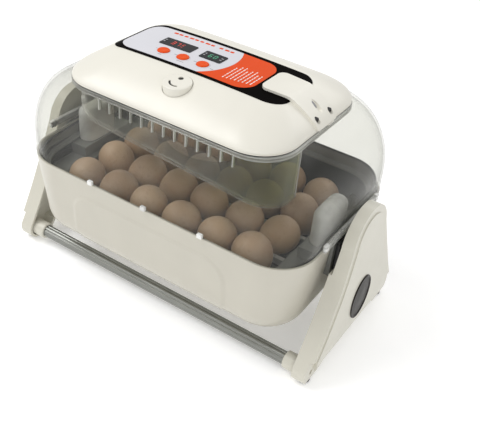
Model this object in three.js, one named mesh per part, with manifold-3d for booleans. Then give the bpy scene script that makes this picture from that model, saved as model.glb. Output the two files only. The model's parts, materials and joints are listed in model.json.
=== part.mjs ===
// Cabinet egg incubator on an egg-turning cradle. Millimetres, +Z up.
// Origin: on the floor under the middle of the cradle. +X runs along the tilt axis towards the
// end of the control unit that carries the air and power connections, and -Y faces the user.
import * as THREE from "three";
import { mergeVertices } from "three/addons/utils/BufferGeometryUtils.js";
import Module from "manifold-3d";

const wasm = await Module();
wasm.setup();

// ---------------------------------------------------------------- driving dimensions
const GAP = 0.3; // clearance between neighbouring pieces
const PIVOT_Z = 126; // height of the tilt axis

const stand = {
  innerX: 188,
  upperInnerX: 191.5, // above the shelf, which clears the tub's draft
  outerX: 209, // where the outer face bulges most
  wall: 3,
  archZ: 138, // centre of the rounded top
  archRadius: 39,
  archEnd: 0.15, // radians above horizontal where the top runs into the legs
  waistY: 63, // pulls the legs' edges slightly inwards
  waistZ: 78,
  footY: 87, // the cross rods' centres
  footZ: 15,
  footRadius: 14.5,
  footStart: 0.5, // radians above horizontal where the foot's curve starts
  soleZ: 1.5, // flat underside that the rubber pad sits on
  bellyZ: 11, // underside between the feet
  shelfZ: 116,
};
const rod = { radius: 7.5, collarRadius: 10, collarInnerX: 173 };
const pivot = { radius: 7.6, bushRadius: 10, bossRadius: 14 };
const drive = { gearTeeth: 30, pinionTeeth: 10, module: 1.2, faceX: 195.3, width: 2.2 };

const tub = {
  rimZ: 143,
  floorZ: 42,
  halfX: 180,
  halfY: 113,
  corner: 47,
  draftX: 7, // how much the walls lean in from the rim to the bottom rounding
  draftY: 5,
  bottomRadius: 30,
  wall: 3,
};
const liner = { wall: 2, frontLipZ: 138, rearLipZ: 157 };
const egg = { rows: 4, pitchY: 46, bedZ: 94, bedHalfX: 138, bedHalfY: 100 };

const dome = {
  baseZ: 143.3,
  shoulderZ: 168,
  topZ: 242,
  topHalfX: 133,
  topHalfY: 93,
  topCorner: 42,
  wall: 2.5,
  openHalfX: 129.5,
  openHalfY: 87.5,
};
const unit = {
  baseZ: 242.3,
  lipZ: 246,
  topZ: 271,
  halfX: 134,
  halfY: 94,
  corner: 43,
  crownHalfX: 98,
  crownHalfY: 45,
  crownCorner: 26,
  bulge: 1.5, // 1 is an elliptical shoulder, and more is flatter
  wall: 2.5,
};
const label = { minX: -110, maxX: 103, middleY: 1, halfY: 39.5, corner: 22 };
const hood = { minX: 68, maxX: 140, minY: -19, maxY: 24, height: 3 };
const guide = {
  topZ: 242,
  slotZ: 216,
  bottomZ: 180,
  droop: 10, // how much lower the skirt hangs at the +X end, and higher at the other
  halfX: 127,
  halfY: 84,
  corner: 34,
  wall: 2,
  slantY: -25, // where the slanted wall across the rear +X corner starts, on the +X wall
  slantAngle: 25.5, // degrees between that wall and the Y axis
  outletRadius: 50,
};
const fan = { bladeRadius: 44, hubRadius: 15, topZ: 236, bottomZ: 226, blades: 6 };
const button = { radius: 6.8, y: -17.5, xs: [-51.5, -26.5, -1.5] };
const display = { minY: -4, maxY: 13, temperature: [-69, -28], humidity: [-17, 10] };
const ventKnob = {
  x: 0.5, // where the knob's axis crosses its reference level
  y: -61,
  z: 260.7,
  radius: 15,
  above: 10, // height of the cap's top above that level
  below: 8.5, // depth of the cap's underside below it
  tilt: 6,
};

// ---------------------------------------------------------------- materials
function material(color, roughness, metalness = 0, opacity = 1) {
  return new THREE.MeshStandardMaterial({
    color,
    roughness,
    metalness,
    opacity,
    transparent: opacity < 1,
  });
}

const cream = material(0xf0eee4, 0.35);
const tubCream = material(0xd9d5c8, 0.38);
const rodGrey = material(0x8a8b86, 0.32, 0.6);
const rubber = material(0x1c1c1c, 0.85);
const badgeGrey = material(0x2b2b2b, 0.3);
const black = material(0x0c0b0a, 0.4);
const frameGrey = material(0x6f706d, 0.45);
const linerGrey = material(0x3a3c3a, 0.5);
const insertGrey = material(0x727370, 0.5);
const humpGrey = material(0xc9cac6, 0.4);
const trayGrey = material(0x565a55, 0.5);
const dividerClear = material(0xb9bab2, 0.3, 0, 0.7);
const clear = material(0xf4f8f8, 0.05, 0, 0.25);
const tintedClear = material(0xe3e6c4, 0.08, 0, 0.4);
const labelGrey = material(0xdddde0, 0.4);
const displayBlack = material(0x101216, 0.15);
const orange = material(0xe24a10, 0.4);
const boardGreen = material(0x1f5a3a, 0.5);
const motorSteel = material(0x9a9c9e, 0.35, 0.8);
const heaterSteel = material(0xb0a79a, 0.4, 0.9);
const gearNylon = material(0xe9e7dc, 0.5);
const bushBronze = material(0xa88a55, 0.4, 0.8);

// ---------------------------------------------------------------- solids and booleans
function solid(geometry) {
  const bare = geometry.clone();
  bare.deleteAttribute("normal");
  bare.deleteAttribute("uv");
  const merged = mergeVertices(bare, 1e-4);
  return new wasm.Manifold(
    new wasm.Mesh({
      numProp: 3,
      vertProperties: new Float32Array(merged.attributes.position.array),
      triVerts: new Uint32Array(merged.index.array),
    }),
  );
}

function geometryOf(body) {
  const mesh = body.getMesh();
  const geometry = new THREE.BufferGeometry();
  geometry.setAttribute("position", new THREE.BufferAttribute(mesh.vertProperties, 3));
  geometry.setIndex(new THREE.BufferAttribute(mesh.triVerts, 1));
  geometry.computeVertexNormals();
  return geometry;
}

function joined(first, ...others) {
  return others.reduce((body, other) => body.add(other), first);
}

function cut(first, ...others) {
  return others.reduce((body, other) => body.subtract(other), first);
}

// A copy mirrored to the other end of the incubator, with its faces still pointing out.
function mirroredX(geometry) {
  const copy = geometry.clone();
  copy.scale(-1, 1, 1);
  const index = copy.index.array;
  for (let i = 0; i < index.length; i += 3) {
    [index[i + 1], index[i + 2]] = [index[i + 2], index[i + 1]];
  }
  copy.computeVertexNormals();
  return copy;
}

// A box given by its lowest and highest corners.
function block(low, high) {
  const geometry = new THREE.BoxGeometry(high[0] - low[0], high[1] - low[1], high[2] - low[2]);
  geometry.translate((low[0] + high[0]) / 2, (low[1] + high[1]) / 2, (low[2] + high[2]) / 2);
  return solid(geometry);
}

function cylinderZ(radius, lowZ, highZ, x, y, segments = 16) {
  const geometry = new THREE.CylinderGeometry(radius, radius, highZ - lowZ, segments);
  geometry.rotateX(Math.PI / 2);
  geometry.translate(x, y, (lowZ + highZ) / 2);
  return solid(geometry);
}

function cylinderX(radius, lowX, highX, y, z, segments = 16) {
  const geometry = new THREE.CylinderGeometry(radius, radius, highX - lowX, segments);
  geometry.rotateZ(Math.PI / 2);
  geometry.translate((lowX + highX) / 2, y, z);
  return solid(geometry);
}

// ---------------------------------------------------------------- lofted rounded rectangles
const CORNER_STEPS = 4;

function ring(halfX, halfY, corner, z) {
  const radius = Math.min(corner, halfX - 0.5, halfY - 0.5);
  const points = [];
  const centres = [
    [1, 1],
    [-1, 1],
    [-1, -1],
    [1, -1],
  ];
  centres.forEach(([signX, signY], quarter) => {
    for (let step = 0; step <= CORNER_STEPS; step++) {
      const angle = (Math.PI / 2) * (quarter + step / CORNER_STEPS);
      const x = signX * (halfX - radius) + radius * Math.cos(angle);
      const y = signY * (halfY - radius) + radius * Math.sin(angle);
      points.push(new THREE.Vector3(x, y, z));
    }
  });
  return points;
}

// A closed solid through rings that all have the same number of points, from the lowest up.
function loft(rings) {
  const count = rings[0].length;
  const points = rings.flat();
  const index = [];
  for (let level = 0; level + 1 < rings.length; level++) {
    for (let i = 0; i < count; i++) {
      const a = level * count + i;
      const b = level * count + ((i + 1) % count);
      index.push(a, b, b + count, a, b + count, a + count);
    }
  }
  const top = (rings.length - 1) * count;
  for (let i = 1; i + 1 < count; i++) {
    index.push(0, i + 1, i);
    index.push(top, top + i, top + i + 1);
  }
  const geometry = new THREE.BufferGeometry().setFromPoints(points);
  geometry.setIndex(index);
  return solid(geometry);
}

// Levels of a quarter turn, as [sine, cosine] pairs from 0 to 90 degrees.
function quarterTurn(steps) {
  return Array.from({ length: steps + 1 }, (_, i) => {
    const angle = ((Math.PI / 2) * i) / steps;
    return [Math.sin(angle), Math.cos(angle)];
  });
}

// The tub's outer surface, moved inwards by inset.
function tubLoft(inset, topZ = tub.rimZ) {
  const wallZ = tub.floorZ + tub.bottomRadius;
  const radius = tub.bottomRadius - inset;
  const rings = quarterTurn(4).map(([sine, cosine]) => {
    const pull = tub.bottomRadius - radius * sine;
    return ring(
      tub.halfX - tub.draftX - pull,
      tub.halfY - tub.draftY - pull,
      tub.corner - pull,
      wallZ - radius * cosine,
    );
  });
  const rise = (topZ - wallZ) / (tub.rimZ - wallZ);
  const halfX = tub.halfX - inset - tub.draftX * (1 - rise);
  const halfY = tub.halfY - inset - tub.draftY * (1 - rise);
  rings.push(ring(halfX, halfY, tub.corner - inset, topZ));
  return loft(rings);
}

// The dome's outer surface, moved inwards by inset.
function domeLoft(inset, baseZ) {
  const rings = [ring(tub.halfX - inset, tub.halfY - inset, tub.corner - inset, baseZ)];
  quarterTurn(4).forEach(([sine, cosine]) => {
    const halfX = dome.topHalfX + (tub.halfX - dome.topHalfX) * cosine - inset;
    const halfY = dome.topHalfY + (tub.halfY - dome.topHalfY) * cosine - inset;
    const corner = dome.topCorner + (tub.corner - dome.topCorner) * cosine - inset;
    const z = dome.shoulderZ + (dome.topZ - dome.shoulderZ - inset) * sine;
    rings.push(ring(halfX, halfY, corner, z));
  });
  return loft(rings);
}

// The control unit's outer surface, moved outwards by offset (inwards when negative).
function unitLoft(offset, baseZ = unit.baseZ) {
  const rings = [ring(unit.halfX + offset, unit.halfY + offset, unit.corner + offset, baseZ)];
  quarterTurn(5).forEach(([sine, cosine]) => {
    const out = cosine ** unit.bulge;
    const halfX = unit.crownHalfX + (unit.halfX - unit.crownHalfX) * out + offset;
    const halfY = unit.crownHalfY + (unit.halfY - unit.crownHalfY) * out + offset;
    const corner = unit.crownCorner + (unit.corner - unit.crownCorner) * out + offset;
    const rise = (unit.topZ - unit.lipZ + offset) * sine ** unit.bulge;
    rings.push(ring(halfX, halfY, corner, unit.lipZ + rise));
  });
  return loft(rings);
}

function prism(halfX, halfY, corner, lowZ, highZ) {
  return loft([ring(halfX, halfY, corner, lowZ), ring(halfX, halfY, corner, highZ)]);
}

// ---------------------------------------------------------------- cradle
const HALF_SPAN = 120; // wider than the object in Y, for cutting boxes

// Outline of an end stand in the YZ plane, moved inwards by inset: a round arch over the pivot,
// shoulders, a waist and two round feet.
function standOutline(inset) {
  const half = new THREE.Path();
  const archRadius = stand.archRadius - inset;
  half.absarc(0, stand.archZ, archRadius, Math.PI / 2, stand.archEnd, true);
  const footRadius = stand.footRadius - inset;
  half.quadraticCurveTo(
    stand.waistY - inset, stand.waistZ,
    stand.footY + footRadius * Math.cos(stand.footStart),
    stand.footZ + footRadius * Math.sin(stand.footStart),
  );
  half.absarc(stand.footY, stand.footZ, footRadius, stand.footStart, -Math.PI / 2, true);
  half.lineTo(stand.footY - 14 + inset, stand.footZ - footRadius);
  half.quadraticCurveTo(
    stand.footY - 21 + inset, stand.footZ - footRadius,
    stand.footY - 28 + inset, stand.bellyZ + inset,
  );
  half.lineTo(0, stand.bellyZ + inset);
  const right = half.getPoints(4);
  const left = right
    .slice(1, -1)
    .map((point) => new THREE.Vector2(-point.x, point.y))
    .reverse();
  return new THREE.Shape([...right, ...left]);
}

// Extrudes a YZ outline along X from lowX to highX.
function extrudeX(shape, lowX, highX) {
  const geometry = new THREE.ExtrudeGeometry(shape, {
    depth: highX - lowX,
    bevelEnabled: false,
    curveSegments: 5,
  });
  const axes = new THREE.Matrix4().makeBasis(
    new THREE.Vector3(0, 1, 0),
    new THREE.Vector3(0, 0, 1),
    new THREE.Vector3(1, 0, 0),
  );
  geometry.applyMatrix4(axes);
  geometry.translate(lowX, 0, 0);
  return solid(geometry);
}

// Everything inside the stand's outer face, which bulges at badge height and leans in above and
// below it; inset moves that face inwards.
function insideOuterFace(inset) {
  const shape = new THREE.Shape();
  shape.moveTo(stand.innerX - 10, -5);
  shape.lineTo(stand.outerX - 6 - inset, -5);
  shape.lineTo(stand.outerX - inset, 32);
  shape.lineTo(stand.outerX - inset, 92);
  shape.lineTo(stand.outerX - 2 - inset, 140);
  shape.lineTo(stand.outerX - 4 - inset, 190);
  shape.lineTo(stand.innerX - 10, 190);
  const width = 2 * HALF_SPAN;
  const geometry = new THREE.ExtrudeGeometry(shape, { depth: width, bevelEnabled: false });
  geometry.rotateX(Math.PI / 2);
  geometry.translate(0, HALF_SPAN, 0);
  return solid(geometry);
}

const SHELF_WALL_X = stand.upperInnerX + stand.wall;
const OUTER_WALL_X = 203.8; // inside of the outer face beside the pivot

function standShell(bossEndX) {
  const outer = extrudeX(standOutline(0), stand.innerX, stand.outerX).intersect(
    insideOuterFace(0),
  );
  const cavity = extrudeX(standOutline(stand.wall), stand.innerX - 1, stand.outerX).intersect(
    insideOuterFace(stand.wall),
  );
  const shelf = block(
    [stand.innerX - 2, -HALF_SPAN, stand.shelfZ - stand.wall],
    [SHELF_WALL_X, HALF_SPAN, stand.archZ + stand.archRadius],
  );
  const shell = cut(
    outer,
    block([stand.innerX - 1, -HALF_SPAN, stand.shelfZ], [stand.upperInnerX, HALF_SPAN, 200]),
    block([stand.innerX - 1, -HALF_SPAN, -1], [stand.outerX + 1, HALF_SPAN, stand.soleZ]),
    cut(cavity, shelf),
  );
  const boss = cylinderX(pivot.bossRadius, SHELF_WALL_X - 1, bossEndX, 0, PIVOT_Z);
  const boreEndX = Math.min(bossEndX + 1, OUTER_WALL_X);
  const bore = cylinderX(pivot.bushRadius + GAP, stand.innerX - 1, boreEndX, 0, PIVOT_Z);
  return geometryOf(cut(joined(shell, boss), bore));
}

function rubberFoot(sideX, sideY) {
  const x = sideX * 196.5;
  const y = sideY * stand.footY;
  const pad = cylinderZ(7, 0, stand.soleZ - GAP, 0, 0, 20);
  const geometry = geometryOf(pad);
  geometry.translate(x, y, 0);
  return geometry;
}

function rodCollar() {
  const outer = cylinderX(rod.collarRadius, rod.collarInnerX, 200, 0, 0, 20);
  const hole = cylinderX(rod.radius + GAP, rod.collarInnerX - 1, 190 + GAP, 0, 0, 20);
  return geometryOf(cut(outer, hole));
}

function bearingBush(endX) {
  const outer = cylinderX(pivot.bushRadius, stand.upperInnerX, endX, 0, PIVOT_Z);
  const hole = cylinderX(pivot.radius + GAP, stand.upperInnerX - 1, endX + 1, 0, PIVOT_Z);
  return geometryOf(cut(outer, hole));
}

function badge() {
  const shape = new THREE.Shape();
  shape.absellipse(0, 62, 22, 29, 0, Math.PI * 2);
  return geometryOf(extrudeX(shape, stand.outerX + GAP, stand.outerX + 1.5));
}

// A spur gear outline with blunt teeth that leave backlash; phase turns it, in teeth.
function gearShape(teeth, phase, centreZ) {
  const pitchRadius = (teeth * drive.module) / 2;
  const tip = pitchRadius + 0.75 * drive.module;
  const root = pitchRadius - 1.15 * drive.module;
  const points = [];
  const corners = [
    [-0.3, root],
    [-0.1, tip],
    [0.1, tip],
    [0.3, root],
  ];
  for (let tooth = 0; tooth < teeth; tooth++) {
    for (const [offset, radius] of corners) {
      const angle = ((tooth + phase + offset) / teeth) * Math.PI * 2;
      points.push(
        new THREE.Vector2(radius * Math.cos(angle), centreZ + radius * Math.sin(angle)),
      );
    }
  }
  return new THREE.Shape(points);
}

const GEAR_DISTANCE = ((drive.gearTeeth + drive.pinionTeeth) * drive.module) / 2 + 0.3;
const PINION_Z = PIVOT_Z - GEAR_DISTANCE;

function driveGear() {
  // a tooth gap of the gear faces straight down
  const phase = (drive.gearTeeth * 3) / 4 + 0.5;
  const wheel = extrudeX(
    gearShape(drive.gearTeeth, phase, PIVOT_Z), drive.faceX, drive.faceX + drive.width,
  );
  const hole = cylinderX(pivot.radius + GAP, 190, 205, 0, PIVOT_Z);
  return geometryOf(cut(wheel, hole));
}

function drivePinion() {
  // a tooth of the pinion points straight up into that gap
  const phase = drive.pinionTeeth / 4;
  const wheel = extrudeX(
    gearShape(drive.pinionTeeth, phase, PINION_Z), drive.faceX, drive.faceX + drive.width,
  );
  const hole = cylinderX(1.8, 190, 205, 0, PINION_Z, 16);
  return geometryOf(cut(wheel, hole));
}

function turningMotor() {
  const gearbox = block([191.5, -19, 52], [205, 19, PINION_Z - 9.5]);
  const ear = block([199, -9, PINION_Z - 10], [202, 9, PINION_Z + 6]);
  const shaft = cylinderX(1.5, drive.faceX - 1, 200, 0, PINION_Z, 16);
  const can = cylinderZ(6.2, 28, 53, 0, 0, 20);
  const canGeometry = geometryOf(can);
  canGeometry.translate(198.7, 8, 0);
  return geometryOf(joined(gearbox, ear, shaft, solid(canGeometry)));
}

function innerCover() {
  const plate = extrudeX(
    standOutline(stand.wall + GAP), stand.innerX + 0.2, stand.innerX + 2.4,
  );
  const rodHole = (y) => cylinderX(rod.collarRadius + GAP + 0.2, 180, 195, y, stand.footZ);
  return geometryOf(
    cut(
      plate,
      block([180, -HALF_SPAN, stand.shelfZ - stand.wall - GAP], [200, HALF_SPAN, 200]),
      block([180, -HALF_SPAN, -1], [200, HALF_SPAN, stand.soleZ + 3]),
      block([180, stand.footY - 12, -1], [200, HALF_SPAN, 60]),
      block([180, -HALF_SPAN, -1], [200, 12 - stand.footY, 60]),
      rodHole(stand.footY),
      rodHole(-stand.footY),
    ),
  );
}

// ---------------------------------------------------------------- tub and what it holds
function tubShell() {
  return geometryOf(cut(tubLoft(0), tubLoft(tub.wall, tub.rimZ + 2)));
}

function linerShell() {
  const outside = tub.wall + GAP + 0.1;
  const inside = outside + liner.wall;
  const lip = 5.5; // the lip stands inside the dome's wall
  const wall = joined(
    tubLoft(outside, tub.rimZ - 1),
    prism(tub.halfX - lip, tub.halfY - lip, tub.corner - lip, tub.rimZ - 8, liner.rearLipZ + 4),
  );
  const lipInset = lip + liner.wall;
  const hollow = joined(
    tubLoft(inside, tub.rimZ - 8),
    prism(
      tub.halfX - lipInset, tub.halfY - lipInset, tub.corner - lipInset,
      tub.rimZ - 9, liner.rearLipZ + 9,
    ),
  );
  // the lip rises from the front to the back
  const slope = (liner.rearLipZ - liner.frontLipZ) / (2 * tub.halfY);
  const above = new THREE.BoxGeometry(500, 400, 60);
  above.translate(0, 0, 30);
  above.rotateX(Math.atan(slope));
  above.translate(0, 0, (liner.rearLipZ + liner.frontLipZ) / 2);
  return geometryOf(cut(wall, hollow, solid(above)));
}

function eggBed() {
  const thickness = 2.5;
  let bed = block(
    [-egg.bedHalfX, -egg.bedHalfY, egg.bedZ - thickness],
    [egg.bedHalfX, egg.bedHalfY, egg.bedZ],
  );
  const legs = [];
  for (const x of [-120, 0, 120]) {
    for (const y of [-60, 60]) {
      legs.push(block([x - 4, y - 4, tub.floorZ + 8], [x + 4, y + 4, egg.bedZ - 1]));
    }
  }
  const slotPitch = egg.pitchY / 3;
  for (let slot = 0; slot < 3 * egg.rows; slot++) {
    const y = (slot - 1.5 * egg.rows + 0.5) * slotPitch;
    for (const side of [-1, 1]) {
      const x = side * (egg.bedHalfX / 2);
      bed = cut(bed, block([x - 62, y - 2.6, egg.bedZ - 4], [x + 62, y + 2.6, egg.bedZ + 1]));
    }
  }
  return geometryOf(joined(bed, ...legs));
}

function divider(y) {
  const height = 10;
  return geometryOf(
    block([-egg.bedHalfX, y - 0.9, egg.bedZ + GAP], [egg.bedHalfX, y + 0.9, egg.bedZ + height]),
  );
}

// Grey end insert: low pockets at the corners and a step towards the middle.
function endInsert() {
  const innerX = egg.bedHalfX + GAP;
  const inside = tubLoft(tub.wall + liner.wall + 2 * GAP + 0.2, tub.rimZ - 8 - GAP);
  const floor = block([innerX, -HALF_SPAN, 90], [tub.halfX, HALF_SPAN, 112]);
  const step = block([innerX + 8, -42, 90], [tub.halfX, 42, 126]);
  return geometryOf(joined(floor, step).intersect(inside));
}

// Rounded housing that stands on the insert over the pivot.
function endHump() {
  const inside = domeLoft(8.5, 100);
  const body = prism(11, 25, 9, 126 + GAP, 168);
  const geometry = geometryOf(body);
  geometry.translate(160, -6, 0);
  return geometryOf(solid(geometry).intersect(inside));
}

// Black block that carries the pivot pin on the end of the tub.
function pivotBlock() {
  const body = block([170, -30, 106], [186.6, 30, 140]);
  return geometryOf(cut(body, tubLoft(-GAP, tub.rimZ + 5)));
}

function pivotFrame() {
  const body = cut(
    block([170, -36, 101], [182.5, 36, 142]),
    block([160, -30 - GAP, 106 - GAP], [190, 30 + GAP, 140 + GAP]),
  );
  return geometryOf(cut(body, tubLoft(-GAP, tub.rimZ + 5)));
}

function pivotPin() {
  return geometryOf(cylinderX(pivot.radius, 186.6 + GAP, OUTER_WALL_X - GAP, 0, PIVOT_Z));
}

// ---------------------------------------------------------------- cover
function domeShell() {
  const shell = cut(
    domeLoft(0, dome.baseZ),
    domeLoft(dome.wall, dome.baseZ - 2),
    prism(dome.openHalfX, dome.openHalfY, dome.topCorner - 5, dome.topZ - 20, dome.topZ + 5),
  );
  const tabs = [];
  for (const x of [-72, 0, 72]) {
    for (const side of [-1, 1]) {
      const nearY = side * (tub.halfY - 1.5);
      const farY = side * (tub.halfY + 2.5);
      tabs.push(
        block(
          [x - 3, Math.min(nearY, farY), dome.baseZ],
          [x + 3, Math.max(nearY, farY), dome.baseZ + 5],
        ),
      );
    }
  }
  return geometryOf(joined(shell, ...tabs));
}

function endClip() {
  const lowZ = dome.baseZ + 3;
  const bar = block([tub.halfX + GAP, -60, lowZ], [tub.halfX + 5, 60, lowZ + 9]);
  const thumbNotch = block([tub.halfX + 2.5, -14, lowZ - 1], [tub.halfX + 6, 14, lowZ + 4]);
  return geometryOf(cut(bar, thumbNotch));
}

// ---------------------------------------------------------------- control unit
function labelOutline(lowZ, highZ, clearance) {
  const middleX = (label.minX + label.maxX) / 2;
  const field = geometryOf(
    prism((label.maxX - label.minX) / 2, label.halfY, label.corner, lowZ, highZ),
  );
  field.translate(middleX, label.middleY, 0);
  const cutOut = block(
    [hood.minX - clearance, hood.minY - clearance, lowZ - 1],
    [label.maxX + 5, hood.maxY + clearance, highZ + 1],
  );
  return cut(solid(field), cutOut);
}

function buttonHoles(radius, lowZ, highZ) {
  return button.xs.map((x) => cylinderZ(radius, lowZ, highZ, x, button.y, 16));
}

function knobAxisMatrix() {
  const turn = new THREE.Matrix4().makeRotationX(THREE.MathUtils.degToRad(ventKnob.tilt));
  const place = new THREE.Matrix4().makeTranslation(ventKnob.x, ventKnob.y, ventKnob.z);
  return place.multiply(turn);
}

// A cylinder on the vent's tilted axis, between two distances along that axis.
function onVentAxis(radius, low, high) {
  const geometry = geometryOf(cylinderZ(radius, low, high, 0, 0, 20));
  geometry.applyMatrix4(knobAxisMatrix());
  return solid(geometry);
}

const STEM_RADIUS = 6;

function unitHousing() {
  const shell = cut(unitLoft(0), unitLoft(-unit.wall, unit.baseZ - 2));
  // a socket closes the wall round the vent knob
  const socketDepth = ventKnob.below + 4.5;
  const socket = onVentAxis(ventKnob.radius + 3, -socketDepth, socketDepth).intersect(
    unitLoft(0, unit.lipZ),
  );
  return geometryOf(
    cut(
      joined(shell, socket),
      onVentAxis(ventKnob.radius + GAP, -ventKnob.below - 0.5, 40),
      onVentAxis(STEM_RADIUS + GAP, -30, 10),
      ...buttonHoles(button.radius + GAP, unit.topZ - 8, unit.topZ + 4),
      connectorHole(NOZZLE_Y),
      connectorHole(SOCKET_Y),
    ),
  );
}

function unitBase() {
  const plate = prism(
    unit.halfX - unit.wall - 0.4, unit.halfY - unit.wall - 0.4, unit.corner - 3,
    unit.baseZ + 0.3, unit.baseZ + 2.8,
  );
  return geometryOf(cut(plate, cylinderZ(17, 230, 260, 0, 0)));
}

function labelPanel() {
  const skin = unitLoft(0.9).intersect(labelOutline(unit.topZ - 12, unit.topZ + 4, 0.5));
  return geometryOf(
    cut(skin, unitLoft(GAP), ...buttonHoles(button.radius + GAP, 260, 290)),
  );
}

function displayWindow([minX, maxX]) {
  const body = block([minX, display.minY, unit.topZ - 9], [maxX, display.maxY, unit.topZ + 3]);
  return geometryOf(cut(body.intersect(unitLoft(1.9)), unitLoft(0.9 + GAP)));
}

function pushButton(x) {
  const cap = cylinderZ(button.radius, unit.topZ - 5, unit.topZ + 2.6, x, button.y, 16);
  return geometryOf(cap);
}

function circuitBoard() {
  const board = block([-90, -33, 257], [80, 33, 258.6]);
  const posts = [];
  for (const x of [-84, 74]) {
    for (const y of [-27, 27]) {
      posts.push(cylinderZ(3, unit.baseZ + 2.8 + GAP, 258, x, y, 10));
    }
  }
  const switches = button.xs.map((x) => {
    return block([x - 3, button.y - 3, 258], [x + 3, button.y + 3, unit.topZ - 5 - 1.4]);
  });
  return geometryOf(joined(board, ...posts, ...switches));
}

const CONNECTOR_Z = 254;
const CONNECTOR_RADIUS = 3.6;
const NOZZLE_Y = -9.5;
const SOCKET_Y = 16.5;

function connectorHole(y) {
  return cylinderX(CONNECTOR_RADIUS + GAP, 110, 150, y, CONNECTOR_Z, 12);
}

function connector(y, boreRadius) {
  const body = cylinderX(CONNECTOR_RADIUS, 122, 136.5, y, CONNECTOR_Z, 12);
  return geometryOf(cut(body, cylinderX(boreRadius, 128, 140, y, CONNECTOR_Z, 12)));
}

// Raised cream tongue from the label down the end of the unit, over the two connectors.
function hoodCover() {
  const middleY = (hood.minY + hood.maxY) / 2;
  const plan = geometryOf(
    prism((hood.maxX - hood.minX) / 2, (hood.maxY - hood.minY) / 2, 8, 246.5, unit.topZ + 8),
  );
  plan.translate((hood.minX + hood.maxX) / 2, middleY, 0);
  const grip = geometryOf(cylinderZ(5, -4, 4, 0, 0, 20));
  grip.scale(1.5, 0.6, 1);
  grip.rotateY(0.9);
  grip.translate(124, middleY + 2.5, 264);
  return geometryOf(
    cut(
      solid(plan).intersect(unitLoft(hood.height)),
      unitLoft(GAP),
      connectorHole(NOZZLE_Y),
      connectorHole(SOCKET_Y),
      solid(grip),
    ),
  );
}

function unitLatch() {
  return geometryOf(
    block(
      [unit.halfX + GAP, 6, unit.baseZ + 0.5],
      [unit.halfX + 2.6, 18, unit.lipZ - 1],
    ),
  );
}

// Everything past the slanted wall that closes the air guide's rear +X corner.
function beyondSlant(inset) {
  const size = 300;
  const region = new THREE.BoxGeometry(size, size, size);
  region.translate(size / 2 - inset, size / 2, 0);
  region.rotateZ(THREE.MathUtils.degToRad(guide.slantAngle));
  region.translate(guide.halfX, guide.slantY, guide.slotZ);
  return solid(region);
}

// Clear skirt below the unit that leads the fan's air along the walls.
function airGuide() {
  const surface = (inset, lift) => {
    const levels = [
      [guide.bottomZ + lift, 26, 24, 14],
      [guide.bottomZ + 6 + lift, 12, 11, 7],
      [guide.bottomZ + 16 + lift, 4, 4, 3],
      [guide.slotZ, 0, 0, 0],
      [guide.topZ + (lift > 0 ? 2 : 0), 0, 0, 0],
    ];
    const rings = levels.map(([z, pullX, pullY, pullCorner]) => {
      const halfX = guide.halfX - pullX - inset;
      const points = ring(
        halfX, guide.halfY - pullY - inset, guide.corner - pullCorner - inset, z,
      );
      // the +X end drops straight, so its half is stretched back out to the full length
      for (const point of points) {
        point.x *= point.x > 0 ? (guide.halfX - inset) / halfX : 1;
      }
      return points;
    });
    for (const point of rings.flat()) {
      if (point.z < guide.slotZ) {
        point.z -= (guide.droop * point.x) / guide.halfX;
      }
    }
    return cut(loft(rings), beyondSlant(inset));
  };
  const shell = cut(surface(0, 0), surface(guide.wall, guide.wall));
  const outlet = cylinderZ(
    guide.outletRadius, guide.bottomZ - 9, guide.bottomZ + 12, 0, 0, 24,
  );
  const slots = [];
  const slotCount = 12;
  for (let slot = 0; slot < slotCount; slot++) {
    const x = (slot - (slotCount - 1) / 2) * 14;
    slots.push(block([x - 4, -100, guide.slotZ + 3], [x + 4, 100, guide.topZ - 6]));
  }
  return geometryOf(cut(shell, outlet, ...slots));
}

function fanWheel() {
  const hub = cylinderZ(fan.hubRadius, fan.bottomZ, fan.topZ, 0, 0, 20);
  const blades = [];
  for (let i = 0; i < fan.blades; i++) {
    const blade = new THREE.BoxGeometry(fan.bladeRadius - fan.hubRadius + 2, 17, 1.6);
    blade.rotateX(THREE.MathUtils.degToRad(28));
    blade.translate((fan.bladeRadius + fan.hubRadius - 2) / 2, 0, (fan.bottomZ + fan.topZ) / 2);
    blade.rotateZ((i / fan.blades) * Math.PI * 2);
    blades.push(solid(blade));
  }
  return geometryOf(joined(hub, ...blades));
}

function fanMotor() {
  const can = cylinderZ(16, fan.topZ + 1, 257, 0, 0, 20);
  return geometryOf(can);
}

function heaterRing() {
  const ringRadius = 54;
  const wireRadius = 3;
  const profile = [];
  for (let i = 0; i <= 6; i++) {
    const angle = -(i / 6) * Math.PI * 2;
    profile.push(
      new THREE.Vector2(ringRadius + wireRadius * Math.cos(angle), wireRadius * Math.sin(angle)),
    );
  }
  const geometry = new THREE.LatheGeometry(profile.reverse(), 20);
  geometry.rotateX(Math.PI / 2);
  geometry.translate(0, 0, 231);
  const stays = [];
  for (const x of [-ringRadius, ringRadius]) {
    stays.push(cylinderZ(1.6, 231, unit.baseZ, x, 0, 8));
  }
  return geometryOf(joined(solid(geometry), ...stays));
}

function sensorProbe() {
  return geometryOf(cylinderZ(4, 216, unit.baseZ, -90, 0, 12));
}

function ventKnobBody() {
  const cap = onVentAxis(ventKnob.radius, -ventKnob.below, ventKnob.above);
  const stem = onVentAxis(STEM_RADIUS, -ventKnob.below - 4, -ventKnob.below + 0.5);
  return geometryOf(joined(cap, stem));
}

// ---------------------------------------------------------------- assembly
const incubator = new THREE.Group();

function add(name, geometry, meshMaterial, x = 0, y = 0, z = 0) {
  const mesh = new THREE.Mesh(geometry, meshMaterial);
  mesh.name = name;
  mesh.position.set(x, y, z);
  incubator.add(mesh);
}

// A right-hand piece and its mirror image at the left-hand end.
function addPair(name, geometry, meshMaterial) {
  add(`${name}_right`, geometry, meshMaterial);
  add(`${name}_left`, mirroredX(geometry), meshMaterial);
}

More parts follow.
